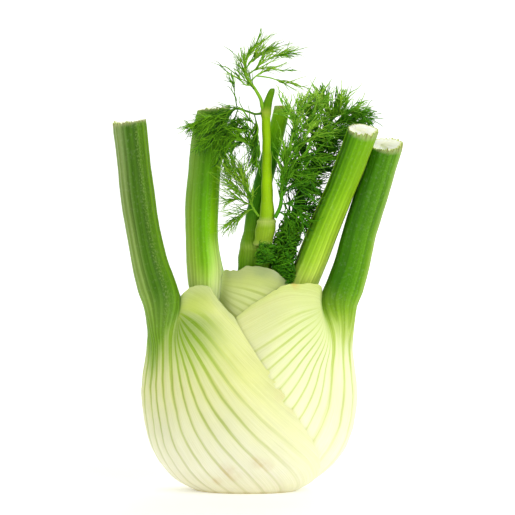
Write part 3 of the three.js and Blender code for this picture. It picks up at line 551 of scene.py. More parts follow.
def fleshPatterns(add):  # what the mesh tells of each point, and the noises laid over it
    trait = {key: add("Attribute", {"attribute_name": key}, "Fac") for key in fleshTraits}
    trait["place"] = add("TexCoord", out="Object")
    noise = {}
    for key, across, layer, detail in (("fibre", "rib", trait["inside"], 3.0),
                                       ("hair", "rib", trait["inside"], 2.0), ("streak", "flank", 0.0, 3.0),
                                       ("dot", "flank", 0.0, 1.0)):
        wide, tall = fleshGrain[key]
        x = add("Math", times, _0=trait[across], _1=wide)
        y = add("Math", times, _0=trait["height"], _1=tall)
        noise[key] = add("TexNoise", Vector=add("CombineXYZ", X=x, Y=y, Z=layer), Scale=1.0, Detail=detail)
    for key, detail, rough in (("mottle", 4.0, 0.5), ("fleck", 2.0, 0.5), ("worn", 4.0, 0.7)):
        noise[key] = add("TexNoise", Vector=trait["place"], Scale=perMetre(fleshGrain[key]), Detail=detail,
                         Roughness=rough)
    return trait, noise


# rib lines: how noise stirs, bends and breaks them, how green widens them, how softly they end
ribLines = {
    "stir": 0.3, "bend": 0.16, "broken": [(0.3, 0.5), (0.6, 1.0)], "widen": -1.15, "soft": (0.3, 0.16),
    "double": [(0.55, 0.0), (0.9, 1.0)],
}


def ribValleys(add, s, trait, noise):  # wide where green, a thin line where pale, twice as many on the stalk
    stir = add("Math", minus, _0=noise["fibre"], _1=0.5)
    green = add("Math", timesPlus, _0=stir, _1=ribLines["stir"], _2=trait["green"])
    wander = add("Math", minus, _0=noise["mottle"], _1=0.5)
    turn = add("Math", timesPlus, _0=wander, _1=ribLines["bend"], _2=trait["rib"])
    coarse = add("Math", cosine, _0=add("Math", times, _0=turn, _1=2 * math.pi))
    close = add("Math", cosine, _0=add("Math", times, _0=turn, _1=4 * math.pi))
    doubling = add("ValToRGB", {"stops": ribLines["double"]}, Fac=trait["green"])
    wave = add("Mix", _0=doubling, _2=coarse, _3=close)
    level = add("Math", timesPlus, _0=green, _1=ribLines["widen"], _2=s["lineLevel"])
    low = add("Math", minus, _0=level, _1=ribLines["soft"][0])
    high = add("Math", plus, _0=level, _1=ribLines["soft"][1])
    valley = add("MapRange", softStep, Value=wave, From_Min=low, From_Max=high)
    valley = add("Math", times, _0=valley, _1=trait["ribStrength"])
    worth = add("ValToRGB", {"stops": ribLines["broken"]}, Fac=noise["fibre"])
    return green, wave, add("Math", times, _0=valley, _1=worth)


def sheathColour(add, s, trait, noise, wave, valley):  # pale bands with a painted highlight on their crests, green lines, paler margins and lip
    height = trait["height"]
    crestHighlight = add("ValToRGB", {"stops": [(0.0, 0.35), (0.5, 0.0)]}, Fac=wave)  # painted highlight: the ridges' crests are paler, as if they catch the light
    crestHighlight = add("Math", times, _0=crestHighlight, _1=trait["ribStrength"])
    band = add("ValToRGB", {"stops": s["band"]}, Fac=height)
    colour = add("Mix", blend, 2, _0=crestHighlight, _6=band, _7=hexColour(s["crestHighlight"]))
    show = add("ValToRGB", {"stops": s["ribShow"]}, Fac=height)
    line = add("ValToRGB", {"stops": s["rib"]}, Fac=height)
    colour = add("Mix", blend, 2, _0=add("Math", times, _0=valley, _1=show), _6=colour, _7=line)
    low, high = s["marginSpan"]
    margin = add("ValToRGB", {"stops": [(low, 0.0), (high, 0.9)]}, Fac=trait["margin"])
    streak = add("ValToRGB", {"stops": [(0.3, 0.55), (0.65, 1.0)]}, Fac=noise["fibre"])
    margin = add("Math", times, _0=margin, _1=streak)
    reach = add("ValToRGB", {"stops": s["marginTop"]}, Fac=height)
    margin = add("Math", times, _0=margin, _1=reach)
    pale = add("ValToRGB", {"stops": s["margin"]}, Fac=height)
    colour = add("Mix", blend, 2, _0=margin, _6=colour, _7=pale)
    lip = add("Math", times, _0=trait["lip"], _1=s["lipShow"])
    return add("Mix", blend, 2, _0=lip, _6=colour, _7=hexColour(s["lip"]))


def stalkColour(add, s, trait, noise, valley):  # one colour up its length; across it partly its own two-tone colour and partly painted light and shade, darker on one flank; unevenly streaked
    height, flank = trait["height"], trait["flank"]
    base = add("ValToRGB", {"stops": s["stalk"]}, Fac=height)
    # across: partly the stalk's own two-tone colour, partly painted light and shade, lighter on the flank
    # toward the key light
    across = add("ValToRGB", {"stops": s["across"]}, Fac=flank)
    colour = add("Mix", tint, 2, _0=trait["free"], _6=base, _7=across)
    # painted highlight: the flank toward the light made paler at the foot of the stalk, which also lightens
    # the shaded crease beside it
    side = add("ValToRGB", {"stops": [(0.8, 0.0), (0.97, 1.0)]}, Fac=flank)
    foot = add("ValToRGB", {"stops": s["footHighlight"]}, Fac=height)
    pale = add("Math", times, _0=side, _1=foot)
    colour = add("Mix", blend, 2, _0=pale, _6=colour, _7=hexColour(fleshTints["footHighlight"]))
    streak = add("ValToRGB", {"stops": fleshTints["streak"]}, Fac=noise["streak"])
    colour = add("Mix", tint, 2, _0=1.0, _6=colour, _7=streak)
    ridge = add("Mix", tint, 2, _0=1.0, _6=colour, _7=hexColour(fleshTints["ridge"]))
    groove = add("Math", times, _0=valley, _1=s["ridgeShow"])
    colour = add("Mix", blend, 2, _0=groove, _6=colour, _7=ridge)
    line = add("ValToRGB", {"stops": s["dots"]}, Fac=flank)
    dots = add("ValToRGB", {"stops": [(0.46, 0.0), (0.68, 0.6)]}, Fac=noise["dot"])
    dotted = add("Math", times, _0=line, _1=dots)  # a rough dotted line up the stalk
    return add("Mix", blend, 2, _0=dotted, _6=colour, _7=hexColour(s["dotColour"])), dotted


def wearAndShadeColour(add, s, trait, noise, valley, colour):  # torn fibres at the cut top, then bruises and stains, and spots of painted shade where a frond shows through a thin membrane
    bleach = add("Math", times, _0=trait["frayed"], _1=0.5)
    colour = add("Mix", blend, 2, _0=bleach, _6=colour, _7=hexColour(fleshTints["bleached"]))
    spots = add("ValToRGB", {"stops": [(0.42, 0.0), (0.58, 0.75)]}, Fac=noise["streak"])
    browned = add("Math", times, _0=trait["frayed"], _1=spots)
    colour = add("Mix", blend, 2, _0=browned, _6=colour, _7=hexColour(fleshTints["browned"]))
    rubbed = add("ValToRGB", {"stops": [(0.3, 0.1), (0.7, 0.6)]}, Fac=noise["worn"])
    rubbed = add("Math", timesPlus, _0=valley, _1=0.6, _2=rubbed)
    for x, y, z, size, strength, stainOrShadeColour in s["stainsAndShade"]:  # places and sizes in millimetres; real stains and bruises, and on the inner left leaf painted shade
        gap = add("VectorMath", {"operation": "DISTANCE"}, "Value", _0=trait["place"],
                  _1=(x * mm, y * mm, z * mm))
        near = add("MapRange", softStep, Value=gap, From_Min=size * mm, From_Max=size * mm * 0.3,
                   To_Max=strength)
        spot = add("Math", times, _0=near, _1=rubbed)
        colour = add("Mix", blend, 2, _0=spot, _6=colour, _7=hexColour(stainOrShadeColour))
    return colour


def cutColour(add, trait, noise):  # wet white pith inside a green skin, browned at the root end
    pith = add("ValToRGB", {"stops": fleshTints["pith"]}, Fac=trait["margin"])
    fleck = add("ValToRGB", {"stops": [(0.5, 0.0), (0.7, 0.15)]}, Fac=noise["fleck"])
    pith = add("Mix", blend, 2, _0=fleck, _6=pith, _7=hexColour(fleshTints["pithFleck"]))
    patch = add("ValToRGB", {"stops": [(0.35, 0.0), (0.65, 1.0)]}, Fac=noise["mottle"])
    root = add("Mix", blend, 2, _0=patch, _6=hexColour(fleshTints["rootCut"]),
               _7=hexColour(fleshTints["rootBrown"]))
    atRoot = add("ValToRGB", {"stops": [(0.0, 1.0), (0.02, 0.0)]}, Fac=trait["height"])
    return add("Mix", blend, 2, _0=atRoot, _6=pith, _7=root)


# fennel flesh: moist plant skin over pale tissue, a soft gloss and light that soaks in a little;
# green valleys between pale ridges, broad on the stalk and narrowing to lines down the bulb
def fennelFlesh(name, own):
    s = {**plainFlesh, **own}
    material, tree = newMaterial(name)
    add = partial(addNode, tree)
    trait, noise = fleshPatterns(add)
    green, wave, valley = ribValleys(add, s, trait, noise)
    sheath = sheathColour(add, s, trait, noise, wave, valley)
    stalk, dotted = stalkColour(add, s, trait, noise, valley)
    low, high = s["greenFrom"]
    change = add("MapRange", softStep, Value=green, From_Min=low, From_Max=high)
    colour = add("Mix", blend, 2, _0=change, _6=sheath, _7=stalk)
    mottle = add("ValToRGB", {"stops": [(0.3, 0.93), (0.7, 1.05)]}, Fac=noise["mottle"])
    colour = add("Mix", tint, 2, _0=0.5, _6=colour, _7=mottle)
    hair = add("ValToRGB", {"stops": fleshTints["hair"]}, Fac=noise["hair"])
    colour = add("Mix", tint, 2, _0=0.5, _6=colour, _7=hair)
    fleck = add("ValToRGB", {"stops": [(0.55, 0.0), (0.8, 0.06)]}, Fac=noise["fleck"])
    colour = add("Mix", blend, 2, _0=fleck, _6=colour, _7=hexColour(s["fleck"]))
    colour = wearAndShadeColour(add, s, trait, noise, valley, colour)
    colour = add("Mix", blend, 2, _0=trait["cut"], _6=colour, _7=cutColour(add, trait, noise))

    gloss = add("ValToRGB", {"stops": [(0.3, 0.36), (0.7, 0.5)]}, Fac=noise["fibre"])
    grit = add("Math", timesPlus, _0=noise["fibre"], _1=0.7, _2=add("Math", times, _0=dotted, _1=0.4))
    grit = add("Math", plus, _0=grit, _1=add("Math", times, _0=noise["fleck"], _1=0.3))
    bump = add("Bump", Strength=0.3, Distance=0.2 * mm, Height=grit)
    shader = add("BsdfPrincipled", {"subsurface_method": "RANDOM_WALK"}, Base_Color=colour, Roughness=gloss,
                 IOR=1.4, Normal=bump, Subsurface_Weight=s["soak"], Subsurface_Radius=(1.0, 0.9, 0.4),
                 Subsurface_Scale=2.5 * mm, Specular_IOR_Level=0.12)
    add("OutputMaterial", Surface=shader)
    return material


# colours by height (share of the full height) or, for across and dots, by place across the stalk; the across
# colours are partly each stalk's own colour and partly painted light and shade
fleshes = {
    "leaf_outer_left": {
        "band": [(0, "#d8c896"), (.008, "#efe9cc"), (.06, "#f7f4de"), (.14, "#ebebc4"), (.24, "#dee294"),
                 (.33, "#d8e27c"), (.40, "#dcec74"), (.48, "#bccc70")],
        "crestHighlight": "#f2f2d2",
        "rib": [(0, "#d2d29c"), (.12, "#bcc76e"), (.25, "#a4ba48"), (.36, "#aed038"), (.46, "#b4d240")],
        "ribShow": [(0, .6), (.2, .95), (.4, 1), (.46, .6)],
        "margin": [(0, "#f8f7d6"), (.14, "#f8f8c2"), (.23, "#f6f8b4"), (.28, "#f2f5a6"), (.36, "#fcfeb6")],
        "marginTop": [(.41, 1.0), (.46, 0.3)], "marginSpan": (0.58, 0.86), "lip": "#ccd898", "lipShow": 0.6,
        "stalk": [(.22, "#c8da8c"), (.29, "#9ec24e"), (.36, "#84b030"), (.44, "#98ba58"), (.5, "#a0bc6c"),
                  (.7, "#9ab272"), (.86, "#9eb67c")],
        "across": [(.42, "#ffffff"), (.57, "#fffff0"), (.68, "#8cb454"), (.762, "#82ac40"),
                   (.865, "#aad44a"), (.95, "#c8e858"), (1, "#aac868")],
        "ridgeShow": 0.5, "dots": [(.75, 0.0), (.785, 0.65), (.82, 0.3), (.9, 0.0)], "dotColour": "#a0bc64",
        "greenFrom": (0.0, 0.85), "fleck": "#f4f5d2", "lineLevel": 0.93,
        "stainsAndShade": [(-7.5, -26, 10, 6, .4, "#d2b47a"), (-10, -27, 13, 5, .4, "#d2b47a"),
                   (3.5, -29.5, 16, 5, .45, "#d2b47a"), (8, -29, 14, 5, .45, "#d2b47a"),
                   (-14, -22, 7, 4, .5, "#d2b47a"), (14, -33.5, 47, 5, .4, "#e0c484"),
                   (20, -32, 42, 5, .4, "#e0c484")],
    },
    "leaf_outer_right": {
        "band": [(0, "#f4f0d2"), (.08, "#faf8dc"), (.2, "#f6f8c8"), (.32, "#f2fabc"), (.4, "#ecf6aa"),
                 (.47, "#e4ee9a")],
        "crestHighlight": "#fdfde0",
        "rib": [(0, "#eaeab8"), (.15, "#dde48c"), (.28, "#c8dc66"), (.4, "#b8d250")],
        "ribShow": [(0, .5), (.2, .8), (.36, 1), (.46, .7)], "margin": [(0, "#f4f4cc"), (.4, "#eaec9e")],
        "marginSpan": (0.6, 0.95), "lip": "#cfe078", "lipShow": 0.55,
        "stalk": [(.28, "#e2f0a0"), (.36, "#cce26c"), (.42, "#a4cc38"), (.48, "#a6d044"), (.56, "#aed256"),
                  (.65, "#a1c568"), (.8, "#a4c86c")],
        "across": [(.44, "#fffff0"), (.5, "#f0f4bc"), (.6, "#a2cc56"), (.74, "#80b42c"), (.85, "#6aa020"),
                   (.92, "#5a9018"), (1, "#5c8c28")],
        "ridgeShow": 0.4, "dots": [(.55, 0.0), (.64, 0.25), (.72, 0.25), (.8, 0.0)], "dotColour": "#8cb84a",
        "greenFrom": (0.0, 0.9), "fleck": "#fdfde4", "lineLevel": 0.93,
        "stainsAndShade": [(21.5, -13, 95.6, 3, .7, "#d8a83e"), (20.4, -13, 97, 2.4, .7, "#d8a83e")],
    },
    "leaf_inner_left": {
        "band": [(0, "#efebcd"), (.4, "#d2da84"), (.47, "#c8d47a"), (.53, "#b4c272")],
        "crestHighlight": "#dde4a4",
        "rib": [(0, "#cfd09a"), (.4, "#a8ba40"), (.5, "#98ae3c")],
        "ribShow": [(0, .5), (.4, .65), (.52, .5)], "margin": [(0, "#b0bd80"), (1, "#b0bd80")],
        "lip": "#a4b07a", "lipShow": 0.6,
        "stalk": [(.44, "#e8f6a8"), (.5, "#dcf47c"), (.54, "#c8ec60"), (.6, "#b0de4c"), (.7, "#98c84a"),
                  (.88, "#90ba48")],
        # painted highlight on the stalk's lit flank near its foot
        "footHighlight": [(.46, 1.0), (.5, .8), (.6, 0.0)],
        "across": [(.47, "#f4f8f0"), (.61, "#f0ecfc"), (.7, "#b4cc80"), (.755, "#98bc50"), (.82, "#bce84c"),
                   (.91, "#e4fc50"), (1, "#ecfc70")],
        "ridgeShow": 0.12, "dots": [(.83, 0.0), (.85, 0.5), (.89, 0.0)], "dotColour": "#b4d86a",
        "greenFrom": (0.0, 0.7), "fleck": "#eef2b4", "lineLevel": 0.95,
        # painted shade: the curly frond seen darkly through the thin membrane, given as two grey-green spots
        "stainsAndShade": [(6, -10.7, 103, 6, .8, "#8ea070"), (14, -9.6, 101, 5, .7, "#b0ba98")],
    },
    "leaf_inner_right": {
        "band": [(0, "#efebcd"), (.4, "#e0ea92"), (.5, "#cfe26c")],
        "crestHighlight": "#eef4b4",
        "rib": [(0, "#cfd09a"), (.45, "#b4ce48")], "ribShow": [(0, .5), (.45, .8)],
        "margin": [(0, "#dfe79a"), (1, "#dfe79a")],
        "stalk": [(.42, "#eef8b4"), (.49, "#f0fc88"), (.53, "#e6f874"), (.6, "#cae850"), (.7, "#a4ce2a"),
                  (.84, "#8abc1e")],
        "across": [(.47, "#ffffff"), (.62, "#f4fce0"), (.77, "#d8f0a0"), (.86, "#b8dc70"), (.93, "#84b040"),
                   (1, "#6c9030")],
        "ridgeShow": 0.35, "greenFrom": (0.0, 0.7), "fleck": "#f4f8c4", "lineLevel": 0.85,
    },
}

for leaf in leaves:
    skin = buildLeaf(leaf)
    skin.data.materials.append(fennelFlesh("fennelFlesh_" + leaf["name"][5:], fleshes[leaf["name"]]))
    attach(skin, "root")
    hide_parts(leaf["name"])
    "outer_leaf" if "outer" in leaf["name"] else "inner_leaf"
    print("leaf built:", leaf["name"], len(skin.data.polygons), "faces")


# stem core with the heart leaf's stalk, and the jointed shoot;
# rings of (height, x, y, half width, half depth)
stems = [
    {
        "name": "heart", "slot": "heart", "sides": 56, "ridges": 15, "ridge": 0.16, "step": 0.9, "seed": 21,
        "browned": 1.0,
        "rings": [(0, 0, 0, 11.5, 4.5), (12, .4, 0, 15, 8), (30, .6, 0, 19, 12.5), (48, .8, 0, 19.5, 13.5),
                  (62, 1, 0, 15.5, 11), (75, 1.5, .4, 10.2, 7.6), (86, 2.4, .4, 7.4, 5.2),
                  (98, 2.4, .4, 7.6, 5.4), (108, 2.8, .8, 7.9, 6.4), (112, 2.9, .8, 7.4, 6.3),
                  (114, 2.4, 1.4, 6.7, 5.8), (116.5, 1.6, 2.9, 5.2, 5), (120, 1.9, 3.8, 4.5, 4.5),
                  (130, 3.3, 4.3, 4.4, 4.3), (155, 9.7, 5, 4.2, 4), (178.5, 15.7, 5.5, 3.7, 3.6)],
    },
    {
        "name": "shoot", "slot": "shoot", "sides": 44, "ridges": 12, "ridge": 0.1, "step": 0.6, "seed": 23,
        "browned": 0.0,
        "rings": [(z, x, y, r, r) for z, x, y, r in (
            (113.8, 6.3, -3.6, 4.1), (114.9, 6.5, -3.7, 4.75), (116.4, 6.8, -3.8, 4.4),
            (120.5, 7.5, -3.9, 4.75), (124, 8.1, -4, 4.2), (125, 8.2, -4, 4.5), (126.2, 8.3, -4, 3.5),
            (134.8, 8.4, -3.8, 2.8), (158, 8.1, -3.4, 2.1), (172.5, 7.8, -3, 2), (175, 7.7, -3, 2.55),
            (177.5, 7.9, -3, 2.4), (180.5, 8.8, -2.8, 1.9), (184, 10.1, -2.6, 1.6),
            (185.5, 10.6, -2.5, 1.3), (186.3, 10.9, -2.4, 0.8))],
    },
]

# what both stems share: low ridges and lumps, cut ends and their browning, in millimetres
stemShape = {
    "ridgeLevel": 0.6, "lumps": (0.12, 7), "ribStrength": 0.7, "browning": 3,
    "cutRings": (1, 0.94, 0.7, 0.4, 0.02), "cutDish": 0.35, "cutLumps": (0, 1),
}


def buildStem(stem):
    rings = np.array(stem["rings"], float)
    heights = np.unique(np.concatenate([rings[:, 0], np.arange(rings[0, 0], rings[-1, 0], stem["step"])]))
    x, y, halfX, halfY = (np.interp(heights, rings[:, 0], rings[:, i]) for i in (1, 2, 3, 4))
    turn = np.arange(stem["sides"]) / stem["sides"] * 2 * math.pi
    ridge = stem["ridge"] * (np.abs(np.sin(turn * stem["ridges"] / 2)) - stemShape["ridgeLevel"])
    points = np.stack([x[:, None] + (halfX[:, None] + ridge) * np.cos(turn),
                       y[:, None] + (halfY[:, None] + ridge) * np.sin(turn),
                       np.broadcast_to(heights[:, None], (len(heights), stem["sides"]))], -1)
    tall, wide = stemShape["lumps"]
    outward = unit(points - points.mean(1, keepdims=True))
    points = points + tall * ripple(points, wide, stem["seed"])[..., None] * outward
    points[0, :, 2] = heights[0]
    rows, sides = points.shape[:2]
    n = rows * sides
    index = np.arange(n).reshape(rows, sides)
    after = np.roll(index, -1, 1)
    faces = [np.stack([index[:-1], after[:-1], after[1:], index[1:]], -1).reshape(-1, 4)]
    spots = [points.reshape(-1, 3)]
    level = np.repeat(heights, sides)
    browned = smooth(level, heights[-1] - stemShape["browning"], heights[-1]) * stem["browned"]
    values = {"rib": np.tile(turn * stem["ridges"] / (2 * math.pi), rows), "height": level / fullHeight,
              "ribStrength": np.full(n, stemShape["ribStrength"]), "flank": np.full(n, 0.5),
              "frayed": browned, "green": np.ones(n), "free": np.ones(n)}
    values.update({key: np.zeros(n) for key in ("margin", "inside", "cut", "lip")})
    values = {key: [value] for key, value in values.items()}
    for isTop in (False, True):
        addCut(spots, faces, values, points[-1 if isTop else 0], stemShape, stem["seed"], isTop)
    return makeObject(stem["name"] + "_skin", np.concatenate(spots), np.concatenate(faces),
                      {key: np.concatenate(value) for key, value in values.items()})


# heart and shoot are young: much the same flesh, greener than the leaves
youngFlesh = {
    "band": [(0, "#efebcd"), (.5, "#cfe06c")], "crestHighlight": "#efebcd", "rib": [(0, "#cfd09a"), (.5, "#b4cc4a")],
    "ribShow": [(0, .5), (.5, .8)], "margin": [(0, "#dfe79a"), (1, "#dfe79a")],
    "greenFrom": (0.1, 0.5), "soak": 0.2, "lineLevel": 0.8,
}
fleshes["heart"] = {
    **youngFlesh, "ridgeShow": 0.5, "fleck": "#dfe79a", "stainsAndShade": [(15, 2, 178, 2, 1, "#8a6420")],
    # the darker band near .65 of the height is painted shadow, where the shoot shades the heart's stalk
    "stalk": [(.47, "#649a14"), (.53, "#72a41a"), (.556, "#84aa28"), (.565, "#98b848"), (.58, "#7aa820"),
              (.65, "#468609"), (.74, "#4e940a"), (.79, "#5aa60c"), (.84, "#94d414"), (.88, "#a4de1c")],
}
fleshes["shoot"] = {
    **youngFlesh, "ridgeShow": 0.25, "fleck": "#e4eeb0",
    "stalk": [(.568, "#c2d276"), (.58, "#9cbe2c"), (.61, "#98bc28"), (.625, "#c2d66c"), (.635, "#a0cc1c"),
              (.72, "#c0f014"), (.86, "#b4e412"), (.875, "#bcd04c"), (.89, "#70a410")],
}
for stem in stems:
    skin = buildStem(stem)
    skin.data.materials.append(fennelFlesh("fennelFlesh_" + stem["name"], fleshes[stem["name"]]))
    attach(skin, "root")
    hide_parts(stem["name"])
    print("stem built:", stem["name"], len(skin.data.polygons), "faces")


# fronds: twigs along each line, threads along each twig; lengths in millimetres
fronds = [
    {
        "name": "frond_top", "slot": "frond", "seed": 11, "radius": 0.95,
        "strands": 1.0, "thin": (1, 2, 3), "strand": (8, 14), "stemTone": (0.6, 0.8), "bias": 0.0,
        "hang": 0.1, "twigEvery": 1.4, "twig": (6, 12), "lean": (6, 26), "threads": (2, 4),
        "thread": (5, 11), "tipShare": 0.6, "threadLean": (6, 24), "droop": 0.05, "bare": 0.3,
        "thick": (0.27, 0.13), "follow": 0.5, "curl": 0.35,
        "lines": [
            [(7.4, -3.2, 175.4), (6, -4.4, 178), (5.3, -4.8, 181.4), (2.3, -5, 186.6), (-0.9, -5, 190.7),
             (-1.9, -5, 194.6), (-1.2, -4.6, 199), (1, -4, 203), (4, -3.4, 206)],
            [(1.2, -5, 187.6), (-2, -5.4, 188), (-4, -5.8, 190.5), (-4.6, -6, 193.5), (-4, -6, 197)],
            [(0.2, -5, 189), (4.2, -5.6, 192.6), (8.8, -6, 194.9), (12.5, -6.4, 194.8),
             (16.7, -6.4, 193.6)],
            [(3.4, -5.4, 192), (9.7, -6.6, 191), (14.4, -7, 189.5), (20, -7.4, 188.6)],
            [(-1.3, -5, 192), (2.8, -4.2, 195), (6, -3.6, 198), (11, -3, 201), (16.2, -2.6, 202.2)],
            [(-1.8, -5, 195), (1.4, -3.4, 199), (4.2, -2.4, 201.6), (10, -1.4, 204.6)],
        ],
    },
    {
        "name": "frond_left_upper", "slot": "frond", "seed": 24, "radius": 0.6,
        "strands": 1.3, "thin": (8,), "strand": (8, 15), "stemTone": (0.15, 0.3), "bias": -0.12,
        "hang": 0.2, "twigEvery": 0.7, "twig": (5, 11), "lean": (6, 32), "threads": (3, 5),
        "thread": (5, 11), "tipShare": 0.45, "threadLean": (8, 32), "droop": 0.12, "bare": 0.3,
        "thick": (0.28, 0.14), "follow": 0.5, "curl": 0.5,
        "lines": [
            [(7.2, -3.4, 175), (5.1, -4.9, 174.6), (2.6, -7, 174.4), (-1, -9, 175.6), (-5.6, -10.4, 176.8),
             (-10, -10.8, 175.2), (-15, -11, 173.4), (-20, -10.6, 171.6), (-24.6, -10, 169.6)],
            [(-8, -10.7, 175.8), (-12, -11.2, 172.4), (-16.5, -11, 170.6), (-21.5, -10.4, 168.4)],
            [(-7.8, -10.7, 169), (-12, -11.2, 167.2), (-16, -11.2, 164.6), (-20.5, -10.6, 161)],
            [(-5, -10.3, 176.7), (-7, -10.6, 171.2), (-9.7, -10.8, 165.2), (-11.4, -10.8, 158.6),
             (-10.7, -10.4, 152.4)],
            [(3.6, -8.4, 168.5), (0, -10, 171.6), (-5, -10.8, 170.4), (-10.5, -11.2, 166)],
            [(3.8, -8.5, 162), (0.4, -10, 166), (-4, -10.8, 166), (-9.5, -11.2, 161.6)],
            [(3.6, -8.4, 155), (1, -10, 160), (-3, -10.8, 161.5), (-8, -11.2, 158.5)],
            [(2.4, -7.2, 174.5), (3.6, -8.4, 168.8), (3.8, -8.5, 161.9), (3.4, -8.4, 153.5)],
            [(-5.4, -10.4, 176.8), (-6.4, -10.8, 182.4), (-6.8, -11, 188.4)],
        ],
    },
    {
        "name": "frond_left_lower", "slot": "frond", "seed": 37, "radius": 0.55,
        "strands": 1.5, "thin": (), "strand": (8, 15), "stemTone": (0.5, 0.7), "bias": 0.0, "hang": 0.1,
        "twigEvery": 0.8, "twig": (5, 10), "lean": (10, 42), "threads": (3, 5), "thread": (5, 10),
        "tipShare": 0.6, "threadLean": (8, 32), "droop": 0.05, "bare": 0.15, "thick": (0.22, 0.11),
        "follow": 0.4, "curl": 0.45,
        "lines": [
            [(4.4, -7.8, 127.4), (2.3, -9.4, 130.5), (0.6, -10, 134.6), (-0.8, -10.4, 140),
             (-3.4, -10.6, 146.2), (-6.6, -10.6, 150.6)],
            [(0.5, -10, 135), (-2.6, -10.6, 137.4), (-5.2, -10.8, 139.8), (-7.4, -10.6, 141.6)],
            [(1.2, -9.8, 132.8), (-2, -10.4, 133.6), (-4.8, -10.6, 135.2), (-7.4, -10.4, 135)],
            [(2.2, -9.4, 130.6), (-1.8, -10.4, 129.6), (-4.8, -10.6, 127.6), (-7.6, -10.4, 125)],
            [(-1, -10.4, 140.6), (-4, -10.8, 143), (-6.2, -11, 144.6), (-7.8, -10.8, 147)],
        ],
    },
    {
        "name": "frond_right_slender", "slot": "frond", "seed": 41, "radius": 0.95,
        "strands": 1.0, "thin": (), "strand": (8, 16), "stemTone": (0.6, 0.8), "bias": 0.0, "hang": 0.1,
        "twigEvery": 0.95, "twig": (6, 13), "lean": (14, 50), "threads": (3, 5), "thread": (5, 12),
        "tipShare": 0.4, "threadLean": (8, 32), "droop": 0.02, "bare": 0.15, "thick": (0.33, 0.16),
        "follow": 0.4, "curl": 0.6,
        "lines": [
            [(12, -7.2, 126.6), (14.4, -8, 132), (15.3, -8.4, 139.7), (16.7, -8.6, 149), (18, -8.8, 156.8),
             (20, -9, 163.8), (21.8, -9, 171.2), (23.5, -9, 176.6), (24.8, -9, 180.4)],
            [(17.9, -8.8, 156), (22.7, -10.4, 160), (29.2, -11, 162.9), (36, -11, 165.4)],
            [(17, -8.7, 151), (21.8, -10.4, 153), (27, -11, 154.5), (32.4, -11, 153.4)],
            [(16, -8.6, 145), (20.4, -10.4, 147), (24.6, -11, 146.6), (28.6, -11, 144.4)],
            [(15.2, -8.4, 138), (19, -10, 140.5), (23, -10.8, 141), (26.4, -10.8, 138.6)],
            [(20, -9, 164), (24.6, -9.8, 168.4), (28.8, -10, 172.8), (32, -10, 177), (34, -10, 180.4)],
            [(21.4, -9, 170), (19, -9.8, 174.4), (17.6, -10, 178)],
            [(23, -9, 175), (26.6, -9.4, 178.4), (29, -9.6, 181)],
            [(14.6, -8.1, 133), (17.6, -9.6, 133), (20.8, -10.4, 131.4), (23.6, -10.6, 128.4)],
            [(13.4, -7.7, 129.6), (16, -9.2, 128), (18.4, -9.8, 125)],
        ],
    },
    {
        "name": "frond_right_broad", "slot": "frond_dark", "seed": 53, "radius": 2.2,
        "strands": 1.0, "thin": (), "strand": (9, 17), "stemTone": (0.2, 0.5), "bias": 0.0, "hang": 0.0,
        "twigEvery": 0.65, "twig": (6, 13), "lean": (12, 46), "threads": (3, 5), "thread": (6, 13),
        "tipShare": 0.4, "threadLean": (8, 30), "droop": 0.0, "bare": 0.26, "thick": (0.34, 0.16),
        "follow": 0.45, "curl": 0.5,
        "lines": [
            [(13.9, 3.4, 102), (16, 5.8, 108), (18.4, 6.6, 116), (20, 6.2, 124), (22.3, 5, 132.2),
             (25.5, 3.4, 140.6), (29.2, 2.4, 149.9), (33, 1.6, 159.2), (36.7, 0.8, 168.4),
             (39.7, 0.4, 175.6), (42.2, 0, 182.2)],
            [(38.4, 0.6, 172.6), (44, -0.6, 175.8), (48.6, -1.4, 175.6), (53, -2, 173.4)],
            [(36.4, 0.9, 167.6), (42.2, -0.6, 170.6), (46.6, -1.4, 171.6), (50.4, -2, 170.4)],
            [(38, 0.6, 171.6), (35.8, -0.6, 177), (34.6, -1.2, 180), (34, -1.6, 182.4)],
            [(32.6, 1.7, 158.2), (31, -0.4, 164.7), (29.2, -1.6, 170.6), (28, -2, 176)],
            [(32, 1.8, 156.8), (36.7, -1, 160), (40, -2, 162.6), (44, -2.2, 163.4)],
            [(34.6, 1.3, 163.2), (38.6, -0.6, 165.4), (42.4, -1.6, 166)],
            [(30.4, 2.2, 152.8), (34, -0.2, 154.8), (37.4, -1.2, 154.6)],
            [(28.6, 2.5, 148.4), (26, 0.4, 154.5), (24.6, -1, 160)],
            [(27, 3, 144.2), (31, 0.6, 147), (34.6, -0.6, 148.4), (38, -1, 147.6)],
            [(23.4, 4.4, 135.4), (25.6, 0.4, 139), (28.4, -1.4, 140), (31.4, -2, 138.4)],
            [(24.4, 3.9, 138), (22, 0.6, 143.6), (20.8, -1, 149)],
            [(20.6, 6, 126), (23.6, 2, 129), (27, -1, 130), (30, -2, 128.4)],
            [(19.6, 6.3, 122), (22.4, 2.6, 123), (25.4, 0, 122.6)],
        ],
    },
]


# what all fronds share: rings along each kind of tube, and sizes in millimetres or shares
frondShape = {
    "strandRings": 9, "twigRings": 6, "threadRings": 8, "curlRings": 9, "sideBare": 0.12, "scarce": 5,
    "room": 0.35, "shootRoom": 0.3, "strandFollow": 0.3, "threadFollow": 0.3, "toneSpread": 0.25,
    "ribTip": (0.25, 0.28), "sideRoot": (0.4, 0.5), "sideTip": 0.16, "patch": 1.1,
    "stemSides": 8, "twigSides": 4, "threadSides": 3,
    "strandReach": (0.2, 1), "twigReach": (0.2, 0.8), "threadReach": (0.3, 1),
}


